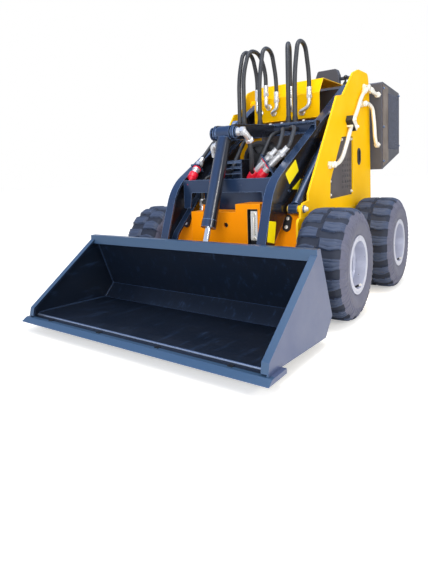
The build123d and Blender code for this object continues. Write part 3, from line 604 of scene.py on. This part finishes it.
class Kit:
    """Gathers small shapes; mark is the number of the material in the piece's list."""

    def __init__(self):
        self.points, self.faces, self.marks = [], [], []

    def take(self, points, faces, mark):
        first = len(self.points)
        self.points += [tuple(point) for point in points]
        self.faces += [tuple(first + corner for corner in face) for face in faces]
        self.marks += [mark] * len(faces)

    def rings(self, rings, mark, closed_ends=True):
        """Skin over rings of points, with flat ends."""
        steps = len(rings[0])
        points = [point for ring in rings for point in ring]
        faces = ring_faces(len(rings), steps)
        if closed_ends:
            faces += [tuple(reversed(range(steps))),
                      tuple(range((len(rings) - 1) * steps, len(rings) * steps))]
        self.take(points, faces, mark)

    def turned(self, place, way, profile, steps=28, mark=0):
        """Lathe work: profile rows are (distance from place along way, radius) in mm."""
        spin = Vector(way).to_track_quat("Z", "Y")
        rings = [[place + spin @ Vector((radius * MM * cos(2 * pi * step / steps),
                                         radius * MM * sin(2 * pi * step / steps), along * MM))
                  for step in range(steps)] for along, radius in profile]
        self.rings(rings, mark)

    def nut(self, place, way, across, high, mark=0):
        """Hexagon with chamfered corners; across is its width over the flats."""
        corner = across / 2 / cos(pi / 6)
        self.turned(place, way, ((0, corner * 0.93), (0.8, corner), (high - 1.2, corner),
                                 (high, corner * 0.86)), 6, mark)

    def bolt(self, place, way, across, mark=0):
        """Washer, hexagon head and the small dish in its top."""
        way = Vector(way).normalized()
        self.turned(place, way, ((0, across * 0.78), (0.12 * across, across * 0.78),
                                 (0.15 * across, across * 0.7)), 20, mark)
        self.nut(place + way * 0.14 * across * MM, way, across, 0.55 * across, mark)
        self.turned(place + way * 0.68 * across * MM, way,
                    ((0, across * 0.34), (0.05 * across, across * 0.3)), 16, mark)

    def swept(self, points, radius, steps=12, mark=0, smooth=6):
        """Round bar through points; radius is a number or a function of the share run, in mm."""
        count = smooth * len(points)
        line = [Vector(curve_through([tuple(point) for point in points], step / count))
                for step in range(count + 1)] if smooth else list(points)
        rings, side = [], None
        for number, point in enumerate(line):
            run = (line[min(number + 1, len(line) - 1)] - line[max(number - 1, 0)]).normalized()
            side = run.orthogonal() if side is None else side - run * side.dot(run)
            side.normalize()
            other = run.cross(side)
            size = MM * (radius(number / (len(line) - 1)) if callable(radius) else radius)
            rings.append([point + side * size * cos(2 * pi * step / steps)
                          + other * size * sin(2 * pi * step / steps) for step in range(steps)])
        self.rings(rings, mark)

    def plate(self, corners, way, thick, mark=0, chamfer=0.0):
        """Flat plate on corners that run counter-clockwise seen from the side it grows to."""
        way, count = Vector(way).normalized(), len(corners)
        inner = []
        for number, corner in enumerate(corners):
            ahead = (corners[(number + 1) % count] - corner).normalized()
            back = (corners[number - 1] - corner).normalized()
            half = (ahead + back).normalized() if (ahead + back).length > 1e-4 else way.cross(ahead)
            reach = max(way.cross(ahead).dot(half), 0.3)
            inner.append(corner + half * (chamfer * MM / reach) + way * thick * MM)
        edge = [corner + way * (thick - chamfer) * MM for corner in corners]
        self.rings([corners, edge, inner] if chamfer else [corners, inner], mark)

    def box(self, x, y, z, mark=0, chamfer=1.0):
        """Box from its low and high sides in mm, with the upper rim chamfered."""
        self.plate([at(x[0], y[0], z[0]), at(x[1], y[0], z[0]), at(x[1], y[1], z[0]),
                    at(x[0], y[1], z[0])], (0, 0, 1), z[1] - z[0], mark, chamfer)

    def done(self, name, materials, body):
        mesh = bpy.data.meshes.new(name)
        mesh.from_pydata(self.points, [], self.faces)
        mesh.validate()
        show(name, mesh, materials, body)
        mesh.polygons.foreach_set("material_index", self.marks)


def rounded(corners, radius):
    """The same flat outline with its corners rounded; radius in mm."""
    points = []
    for number, corner in enumerate(corners):
        back = (corners[number - 1] - corner).normalized() * radius * MM
        ahead = (corners[(number + 1) % len(corners)] - corner).normalized() * radius * MM
        for share in (0, 0.25, 0.5, 0.75, 1):
            points.append(corner + back * (1 - share) ** 2 + ahead * share ** 2)
    return points


def knurl(kit, x, y, z, radius, ribs, profile):
    """Ribs for the fingers around a cap's rim."""
    for rib in range(ribs):
        turn = 2 * pi * rib / ribs
        kit.turned(at(x + radius * cos(turn), y + radius * sin(turn), z), UP, profile, 8)


print("kit of three shapes: turned, swept, flat")

# %% [markdown]
# ## Hose ends
# A rubber hose never meets a pipe directly. A steel ferrule is crimped over its end, which leaves
# a row of flat grooves, and a swivel nut screws it on. They are bright zinc, so they are the
# lightest spots among the dark hoses and are worth the trouble.

# %% Ferrules and swivel nuts
HOSE_R = 11
ELBOW_TOPS = ((-150, 500, 1060), (-97, 500, 1077), (-35, 500, 1034), (46, 500, 1050),
              (150, 500, 1034))
ELBOW_FEET = ((-150, 972), (-97, 998), (-68, 962), (46, 972), (96, 948))
BEAM_ENDS = (-158, -131, -39, 119, 153)


def hose_end(kit, place, way, hose_r, pipe_r):
    """Ferrule over the hose on the way side of place, swivel nut over the pipe behind it."""
    way = Vector(way).normalized()
    crimps = [(0, pipe_r + 1), (1, hose_r + 2.6)]
    for groove in range(4):
        crimps += [(6 + groove * 8, hose_r + 2.6), (7 + groove * 8, hose_r + 1.4),
                   (9 + groove * 8, hose_r + 1.4), (10 + groove * 8, hose_r + 2.6)]
    kit.turned(place, way, (*crimps, (39, hose_r + 2.6), (41, hose_r + 0.4)))
    kit.nut(place - way * 20 * MM, way, 2 * pipe_r + 6, 18)
    kit.turned(place - way * 3 * MM, way, ((0, pipe_r + 2.5), (4, pipe_r + 2.5)))


kit = Kit()
for top, (foot_x, foot_z) in zip(ELBOW_TOPS, ELBOW_FEET):
    hose_end(kit, at(*top), UP, HOSE_R, 10)
    kit.nut(at(foot_x, 539.6, foot_z), FRONT, 32, 12)
    kit.turned(at(foot_x, 527.6, foot_z), FRONT, ((0, 13), (8, 12), (9, 11)))
kit.done("console_hose_ends", [FITTING], "root")

kit = Kit()
COUPLER_ENDS = (((160, 12, 713), (0.73, 0, 0.683)), ((220, -6, 717), (0.73, 0, 0.683)),
                ((-206, -34, 690), (0, 0.736, 0.676)))
for place, way in COUPLER_ENDS:
    way = Vector(way).normalized()
    kit.turned(at(*place), way, ((0, 16), (1, 12.5), (6, 12.5), (7, 11.4), (9, 11.4), (10, 12.5),
                                 (16, 12.5), (17, 11.4), (19, 11.4), (20, 12.5), (30, 12.5),
                                 (31, 9.3)))
    kit.nut(at(*place) - way * 18 * MM, way, 33, 16)
# swivel adaptor that feeds the tilt cylinder beside its pin
kit.turned(at(62, -131, 817), LEFT, ((0, 15), (1, 19), (7, 19), (8, 16), (20, 16), (22, 14)))
kit.nut(at(82, -131, 817), LEFT, 38, 16)
kit.swept([at(90, -131, 817), at(96, -112, 800), at(98, -88, 780)], 14)
kit.nut(at(97, -92, 783), (0, 0.7, -0.7), 34, 14)
kit.done("arm_hose_ends", [FITTING], "lift_arms")
print("hose ends:", len(ELBOW_TOPS) + len(COUPLER_ENDS))

# %% [markdown]
# ## Glands and red caps
# Where the five hoses enter the beam each has a soft black gland. The free quick couplers wear red
# caps: a ring under the holder, and a ribbed boot with a tear-off tip. Dipped caps are round all
# along, so a turned profile is both the quickest way to make one and the true one.

# %% Glands and red caps
kit = Kit()
for x in BEAM_ENDS:
    kit.turned(at(x, 300, 873.4), UP, ((0, 19), (5, 19), (6, 15), (20, 14), (34, 11.6)))
kit.done("beam_hose_glands", [PAD_RUBBER], "lift_arms")

kit = Kit()
COUPLER_CAPS = ((34, 112, 185), (80.5, 123, 192), (34, 82, 132))    # holder, boot and tip along it
for (place, way), (holder, split, tip) in zip(COUPLER_ENDS, COUPLER_CAPS):
    way = -Vector(way).normalized()
    kit.turned(at(*place), way, ((holder + 6.6, 20.4), (holder + 7, 21.5),
                                 (holder + 15, 21.5), (holder + 16, 17)))
    ribs = [(split - 2, 17), (split - 1, 23)]
    for rib in range(3):
        ribs += [(split + rib * 8, 23), (split + 2 + rib * 8, 22), (split + 4 + rib * 8, 23)]
    kit.turned(at(*place), way, (*ribs, (split + 28, 22), (tip - 22, 16), (tip - 6, 8),
                                 (tip + 4, 5), (tip + 26, 3.5), (tip + 27, 2)))
kit.done("coupler_boots", [RED_VINYL], "lift_arms")
print("glands and caps:", len(BEAM_ENDS) + len(COUPLER_CAPS))

# %% [markdown]
# ## Hoses of the tilt cylinder
# Two hoses leave the beam's channel, hang in a loose bow behind the tilt cylinder and end at it.
# They belong to the arms, as the beam does. Two more come out of the engine guard on the far side
# and end in a pair of light fittings on the frame.

# %% Hose bows
kit = Kit()
for bow in (((97, -86, 776), (92, -60, 700), (74, -26, 640), (60, 40, 640), (62, 130, 730),
             (66, 214, 812), (66, 318, 834)),
            ((-70, 318, 834), (-72, 200, 800), (-76, 100, 700), (-66, 20, 640), (-62, -70, 660),
             (-58, -138, 730))):
    kit.swept([at(*point) for point in bow], 10, 16)
kit.done("tilt_hoses", [HOSE], "lift_arms")

kit = Kit()
kit.swept([at(-58, -138, 728), at(-57, -149, 750), at(-48, -153, 761), at(-30, -153, 761)], 12, 18)
kit.nut(at(-58, -131, 712), (0, -0.4, 0.92), 28, 16)
kit.turned(at(-31, -153, 761), RIGHT, ((0, 19), (5, 19), (6, 16), (10, 15)))
kit.done("tilt_port", [FITTING], "tilt_barrel")

kit = Kit()
GUARD_Z = 566.2                              # top of the engine guard
for y, back_x, back_y in ((-28, -178, 74), (12, -146, 70)):
    kit.turned(at(-204, y, 447), UP, ((0, 16), (14, 16), (15, 13), (40, 13), (42, 15), (60, 15),
                                      (61, 11)))
    kit.nut(at(-204, y, 474), UP, 30, 12)
    kit.swept([at(-204, y, 500), at(-203, y, 550), at(-196, y + 26, 608), at(back_x, back_y, 620),
               at(back_x, back_y, 567)], 9.5, 14, 1)
    kit.turned(at(back_x, back_y, GUARD_Z), UP, ((0, 18), (5, 18), (6, 14), (16, 11)), mark=1)
kit.box((-226, -181), (-46, 28), (438.3, 447), 2)
kit.done("far_side_fittings", [FITTING, HOSE, BLUE_BLACK_PAINTED_LIGHT], "root")
print("bows made")

# %% [markdown]
# ## Tube nuts and the clamp on the tower
# The three pipes are held by flared nuts where they pass a wall, and the long one by a black clamp
# of two moulded halves with a pair of bolts. The clamp's edges are rounded in its outline before it
# grows thick, which needs no bevel afterwards.

# %% Tower fittings
kit = Kit()
for start, end in (((357, 244, 651), (357, 262, 652)), ((357, 778, 1059), (357, 760, 1048)),
                   ((357, 756, 980), (357, 776, 982)), ((379, 940, 758), (379, 920, 758)),
                   ((381, 940, 1042), (381, 920, 1042)), ((365, 836, 1062), (372, 860, 1056))):
    way = (at(*end) - at(*start)).normalized()
    kit.nut(at(*start), way, 30, 20)
    kit.turned(at(*start) + way * 19 * MM, way, ((0, 13.5), (8, 13), (10, 11)))
for y, z, size in ((230, 650, 34), (794, 1069, 44), (741, 978, 34)):
    kit.nut(at(342.4, y, z), LEFT, size, 9)
kit.turned(at(368, 794, 1069), LEFT, ((0, 18), (8, 18), (10, 15)))
kit.done("tube_nuts", [ZINC], "root")

kit = Kit()
lean, across = Vector((0, 0.62, 0.785)), Vector((0, 0.785, -0.62))    # along the pipe, and over it
middle = at(342.4, 523, 860)


def clamp_half(low, high, wide, thick_from, thick_to, mark):
    """One half: low to high along the pipe, wide to each side of it, in mm from the tower."""
    corners = [middle + across * wide * a * MM + lean * b * MM + LEFT * thick_from * MM
               for a, b in ((-1, low), (1, low), (1, high), (-1, high))]
    kit.plate(rounded(corners, 4), LEFT, thick_to - thick_from, mark, 1.5)


clamp_half(-18, 18, 42, 0, 33, 0)
clamp_half(-16, 16, 40, 33, 37, 1)
for side in (-1, 1):
    kit.bolt(middle + across * side * 28 * MM + LEFT * 37 * MM, LEFT, 13, 1)
kit.done("pipe_clamp_cover", [NYLON, ZINC], "root")
print("tower fittings made")

# %% [markdown]
# ## Bolts and pin ends
# Screwed joints tell the eye how big a machine is. Hexagon heads hold the net in the tower's
# window, the caps on the pivot pins, the arm stops' pads and the hood. On the pads they are sunk.
# Threads are left out, since none shows: a washer, a head and a dish are enough.

# %% Bolts on the frame
SLANT = radians(64)                          # slant of the arm stops' front
stop_out = Vector((0, -sin(SLANT), cos(SLANT)))
stop_up = Vector((0, cos(SLANT), sin(SLANT)))
NET_X, HOOD_X, STRIP_T = 333.8, 402.2, 1.2   # faces of net and hood, thickness of the hood's strip
NET_BOLTS = ((266, 506), (588, 510), (588, 784), (432, 776), (262, 572))
STRIP_BOLTS = ((962, 664), (962, 860), (962, 1080))
HOOD_BOLTS = ((1330, 760), (1330, 1070))


def pin_cap(kit, side, x, y, z, size):
    """Flat cap over a pin, with the bolt that holds it."""
    face, out = at(side * x, y, z), LEFT * side
    kit.turned(face, out, ((0, size), (4, size), (6, size - 2)), mark=1)
    kit.bolt(face + out * 6 * MM, out, 17)


kit = Kit()
for side in (1, -1):
    out = LEFT * side
    for y, z in NET_BOLTS:
        kit.bolt(at(side * NET_X, y, z), out, 11)
    pin_cap(kit, side, 345.2, -91, 467, 17)
    for reach in (-20, 20):
        spot = at(side * 265, -71, 400) + stop_out * 10.4 * MM + stop_up * reach * MM
        kit.turned(spot, stop_out, ((0, 8), (1.5, 8), (2.2, 6.5)), 20)
    for y, z in STRIP_BOLTS:
        kit.bolt(at(side * (HOOD_X + STRIP_T), y, z), out, 10, 1)
    for y, z in HOOD_BOLTS:
        kit.bolt(at(side * HOOD_X, y, z), out, 10, 1)
    for y in (640, 780, 920):
        kit.bolt(at(side * 176, y, 1128), UP, 10, 1)
    for y in (2, 78):
        kit.bolt(at(side * 190, y, GUARD_Z), UP, 11, 1)
# a pipe's union covers the arm's pivot on the left, so only the right pivot has its cap
pin_cap(kit, -1, 342.2, 804, 1054, 30)
kit.done("frame_bolts", [ZINC, BLUE_BLACK_PAINTED_LIGHT], "root")
print("frame bolted")

# %% [markdown]
# ## Bolts and pins that move
# A cap has to ride on the body that carries its pin, or it is left behind when the arms rise. So
# the arms, each lift rod and the bucket get their own pieces, although all could look the same in
# one mesh at rest.

# %% Bolts and pins on arms, rods and bucket
kit = Kit()
for side in (1, -1):
    kit.turned(at(side * 268.2, 804, 1054), LEFT * side, ((0, 40), (1, 40), (1.2, 38)), mark=1)
for x, y in ((74, 318), (-96, 318), (10, 318), (196, 300), (-204, 300)):
    kit.bolt(at(x, y, 873.2), UP, 13)
kit.turned(at(-60.2, -131, 817), RIGHT, ((0, 30), (6, 30), (9, 26), (9.5, 10), (6, 9)), mark=1)
kit.turned(at(60.2, -131, 817), LEFT, ((0, 24), (2, 24), (3, 22)), mark=1)
kit.done("arm_bolts", [ZINC, BLUE_BLACK_PAINTED_LIGHT], "lift_arms")

for side, name in ((1, "left"), (-1, "right")):
    kit = Kit()
    kit.turned(at(side * 323.2, 520, 922), LEFT * side, ((0, 15), (2, 15), (3, 13)))
    kit.done("rod_pin_cap_" + name, [BLUE_BLACK_PAINTED_LIGHT], "lift_rod_" + name)

kit = Kit()
for side in (1, -1):
    kit.turned(at(side * 292.2, -308, 128), LEFT * side, ((0, 18), (4, 18), (5, 16)), mark=1)
    kit.bolt(at(side * 297.2, -308, 128), LEFT * side, 15)
kit.done("hitch_pin_ends", [ZINC, BLUE_BLACK_PAINTED_LIGHT], "bucket")
print("bolts made")

# %% [markdown]
# ## Sheets of painted shade behind the openings
# A black rubber sheet behind the net and the oval opening of each tower is painted shade: it stands
# for the dark inside the tower. The opening's edge has a rubber ring. Without the sheet the eye
# looks straight through to the lit plate opposite, and the openings lose their depth. A dark
# material on the far plate would do the same from one side only.

# %% Dark sheets of painted shade
kit = Kit()
for side in (1, -1):
    # painted shade: a black sheet behind the net and behind the oval opening
    for x, corners in ((330.3, ((240, 484), (607, 490), (607, 805), (420, 795), (246, 580))),
                       (332.6, ((676, 650), (724, 650), (724, 736), (676, 736)))):
        kit.plate(facing(side, x, corners), LEFT * side, 1.5)
    # a rubber ring lines the oval opening: six outlines lead from its outer edge over the lip
    ring = []
    for grow, x in ((9, 342.2), (9, 345), (5, 347), (-2, 347), (-4, 345), (-4, 335)):
        turns = [2 * pi * step / 40 for step in range(40)]
        ring.append(facing(side, x, [
            (700 + (18 + grow) * cos(turn),
             693 + (19 if sin(turn) >= 0 else -19) + (18 + grow) * sin(turn)) for turn in turns]))
    kit.rings(ring, 0, False)
kit.done("tower_shade_sheets_and_rings", [PAD_RUBBER], "root")
print("liners hung")

# %% [markdown]
# ## Labels
# Three bright vinyl labels sit on the left arm: a diamond and a triangle at the knee, and an
# upright plate at the foot. They are blank, with rounded corners. A decal could be painted into the
# arm's material, but a film half a millimetre thick casts the thin edge that a real one has.

# %% Blank labels on the arm
kit = Kit()
for corners, radius in ((((18, 682), (-95, 619), (-54, 571), (49, 630)), 8),
                        (((76, 595), (-29, 550), (41, 545)), 6),
                        (((-261, 431), (-285, 346), (-218, 332), (-197, 421)), 6)):
    outline = [at(268.1, y, z) for y, z in corners]
    turn = sum((a.y * b.z - b.y * a.z) for a, b in zip(outline, outline[1:] + outline[:1]))
    kit.plate(rounded(outline if turn > 0 else outline[::-1], radius), LEFT, 0.6)
kit.done("arm_labels", [LABEL], "lift_arms")
print("labels made")

# %% [markdown]
# ## Oil tank
# The sight gauge stands in a black pocket: a bright tube between two screws, with a scale behind
# it. On the tank's top is the filler's knurled cap, and a dark plug closes the drain's hole. The
# knurls could be bump in the material, but they cut the cap's outline, so they are made as ribs.

# %% Gauge pocket and filler cap
(left, right), (low, high) = (118.3, 167.7), (300.4, 469.6)    # the pocket's sides, floor and top
GAUGE_X, WALL = 143, 1.2                     # the gauge's middle, thickness of the pocket's walls
kit = Kit()
back = [at(x, -135.4, z) for x, z in ((left, low), (right, low), (right, high), (left, high))]
kit.plate(back, FRONT, 1.0)
for x in (left, right - WALL):
    kit.box((x, x + WALL), (-164, -136), (low, high), 0, 0)
for z in (low, high - WALL):
    kit.box((left + WALL, right - WALL), (-164, -136), (z, z + WALL), 0, 0)
for z in (338, 446):
    kit.bolt(at(GAUGE_X, -150.4, z), FRONT, 13, 1)
for z in range(356, 436, 10):
    kit.box((GAUGE_X - 7, GAUGE_X + 7), (-151.2, -150.3), (z, z + 2), 0, 0)
kit.turned(at(GAUGE_X, -151.6, 352), UP, ((0, 4), (0.5, 5), (81, 5), (81.5, 4)), 16, 1)
kit.done("gauge_pocket", [NYLON, ZINC], "root")

kit = Kit()
kit.turned(at(-130, -90, 485.2), UP, ((0, 25), (3, 25), (3.5, 31), (20, 31), (23, 28), (23.5, 22),
                                      (21, 20)), 40)
knurl(kit, -130, -90, 489.5, 31, 20, ((0, 2.2), (14, 2.2), (15, 1)))
kit.turned(at(8, -150.4, 395), FRONT, ((0, 11.6), (3, 11.6), (4, 9), (4, 5), (2, 4)))
kit.done("filler_cap", [NYLON], "root")
print("tank dressed")

# %% [markdown]
# ## Welds and edge bolts
# The bucket is welded from folded plate. A weld laid by hand is a row of overlapping scales about
# 6 mm apart. Each scale could be its own ring; it is less work to sweep one bar whose radius rises
# and falls as it runs. The weld by the lip is scoured bright by what slides over it, and square
# bolt heads hold the edge.

# %% Bucket welds
LIP_Y = -893
SCALE_STEP = 6                               # mm from one scale of a weld to the next
kit = Kit()


def weld(start, end, size, mark=0):
    """Bead of the given radius between two points."""
    start, end = at(*start), at(*end)
    scales = max(int((end - start).length / (SCALE_STEP * MM)), 3)
    line = [start.lerp(end, step / (3 * scales)) for step in range(3 * scales + 1)]
    kit.swept(line, lambda share: size * (0.86 + 0.14 * abs(cos(pi * share * scales))), 8, mark, 0)


weld((-538, LIP_Y + 58, 60), (538, LIP_Y + 58, 60), 3.6, 2)
for side in (1, -1):
    corner = [(side * 540, y, z) for y, z in ((LIP_Y + 64, 65), (-783, 65), (-420, 47), (-357, 105),
                                              (-461, 340))]
    for start, end in zip(corner, corner[1:]):
        weld(start, end, 3.6)
for x in (-420, -140, 140, 420):
    kit.box((x - 9, x + 9), (-868, -850), (57.7, 60.2), 1, 0.8)
kit.done("bucket_welds", [BUCKET_PAINTED_LIGHT, STEEL_DARK, WORN], "bucket")
print("welds made")

# %% [markdown]
# ## Hood
# The front of the hood's side is a strip of bronze sheet, screwed on, and behind it stand narrow
# slats whose folded edges catch the light. They could be cut into the hood itself, but it stays
# as it is: plates with a chamfer laid on its skin look the same from outside.

# %% Hood strips and slats
kit = Kit()
for side in (1, -1):
    strip = facing(side, HOOD_X, ((950, 632), (1076, 663), (1076, 1094), (950, 1104)))
    kit.plate(rounded(strip, 5), LEFT * side, STRIP_T, 0, 0.4)
    for y in range(1078, 1313, 26):
        slat = facing(side, HOOD_X, ((y, 738), (y + 12, 740), (y + 12, 1062), (y, 1063)))
        kit.plate(rounded(slat, 3), LEFT * side, 4.5, 1, 2.2)
kit.done("hood_slats", [BRONZE, HOOD_PAINTED_LIGHT], "root")
print("hood sides made")

# %% [markdown]
# ## Rear door and fuel cap
# A service door closes the hood's rear, with louvres to let the heat out, a turn latch and two
# hinges. The fuel cap stands on the hood. Neither opens here, so one mesh holds both.

# %% Rear door and fuel cap
DOOR_Y = 1355.2                              # the door's face
kit = Kit()
door = [at(x, 1350.3, z) for x, z in ((340, 742), (-340, 742), (-340, 1062), (340, 1062))]
kit.plate(rounded(door, 24), REAR, 5, 0, 2)
for z in range(800, 961, 32):
    louvre = [at(x, DOOR_Y, a) for x, a in ((230, z), (-230, z), (-230, z + 14), (230, z + 14))]
    kit.plate(rounded(louvre, 6), REAR, 7, 0, 4)
kit.turned(at(0, DOOR_Y, 1034), REAR, ((0, 22), (3, 22), (5, 19), (5, 12), (12, 12), (13, 10)),
           mark=1)
latch = [at(x, 1367, z) for x, z in ((5, 1012), (-5, 1012), (-5, 1056), (5, 1056))]
kit.plate(rounded(latch, 4), REAR, 6, 1, 1.5)
for x in (-240, 240):
    kit.turned(at(x - 40, 1357, 746), LEFT, ((0, 8), (80, 8)), 16, 0)
    for reach in (-24, 24):
        kit.bolt(at(x + reach, 1355.4, 768), REAR, 9, 1)
kit.turned(at(-300, 1050, 1109), UP, ((0, 34), (6, 34), (7, 40), (22, 40), (26, 36), (27, 10)), 48)
knurl(kit, -300, 1050, 1117, 40, 24, ((0, 2.6), (12, 2.6), (14, 1)))
kit.done("hood_rear_door", [HOOD_PAINTED_LIGHT, ZINC], "root")
print("hood dressed")

# %% [markdown]
# ## Wheels
# Each rim gets its valve, the ends of its studs, a row of small beads around its flange and a domed
# cap on the hub. They turn with the wheel, so each wheel has a piece of its own.

# %% Valves and studs
STUDS_R, BEADS_R, VALVE_R = 45, 112, 97      # how far from the axle they stand, mm


def around(hub, radius, turn):
    """Point beside the hub at a radius in mm and a turn in the wheel's plane."""
    return hub + Vector((0, radius * cos(turn), radius * sin(turn))) * MM


for name in ("front_left", "front_right", "rear_left", "rear_right"):
    hub = Vector(JOINTS["roll_" + name]["pos_m"])
    out = LEFT if hub.x > 0 else RIGHT
    kit = Kit()
    kit.turned(hub + out * 38.2 * MM, out, ((0, 27), (3, 26), (7, 20), (9, 11), (9.5, 3)), 32, 1)
    for step in range(5):
        spot = around(hub, STUDS_R, 2 * pi * (step * 72 + 36) / 360)
        kit.turned(spot + out * 23.8 * MM, out, ((0, 5), (4, 5), (5, 4)), 14, 2)
    for step in range(48):
        spot = around(hub, BEADS_R, 2 * pi * step / 48)
        kit.turned(spot + out * 97.2 * MM, out, ((0, 1.6), (1.2, 1.2)), 6, 1)
    foot = hub + (out * 62 - UP * VALVE_R) * MM
    tip = foot + (out * 34 + UP * 12) * MM
    kit.swept([foot, foot + (out * 18 + UP * 3) * MM, tip], 4.5, 12)
    kit.turned(tip, out + UP * 0.6, ((0, 3), (1, 5), (9, 5), (10, 3)), 14, 2)
    kit.done("valve_and_studs_" + name, [NYLON, SILVER, ZINC], "wheel_" + name)
print("wheels dressed")

# %% [markdown]
# ## Boots and grip
# The levers pass through pleated rubber boots, and the step has raised studs that keep a muddy
# boot from slipping.

# %% Boots and grip
kit = Kit()
for x in (-110, 110):
    folds = []
    for fold in range(5):
        folds += [(fold * 7, 23 - 3 * fold), (fold * 7 + 3.5, 19 - 3 * fold)]
    kit.turned(at(x, 1224, 1163), (0, 18, 65), (*folds, (37, 6.6)), 28)
kit.done("lever_boots", [PAD_RUBBER], "root")

kit = Kit()
for row in range(9):
    for column in range(10):
        place = at(-270 + column * 60, 1130 + row * 42, 196)
        kit.turned(place, UP, ((0, 11), (3, 9), (3.4, 5)), 14)
kit.done("step_grip", [HOOD_PAINTED_LIGHT], "root")
print("controls dressed")
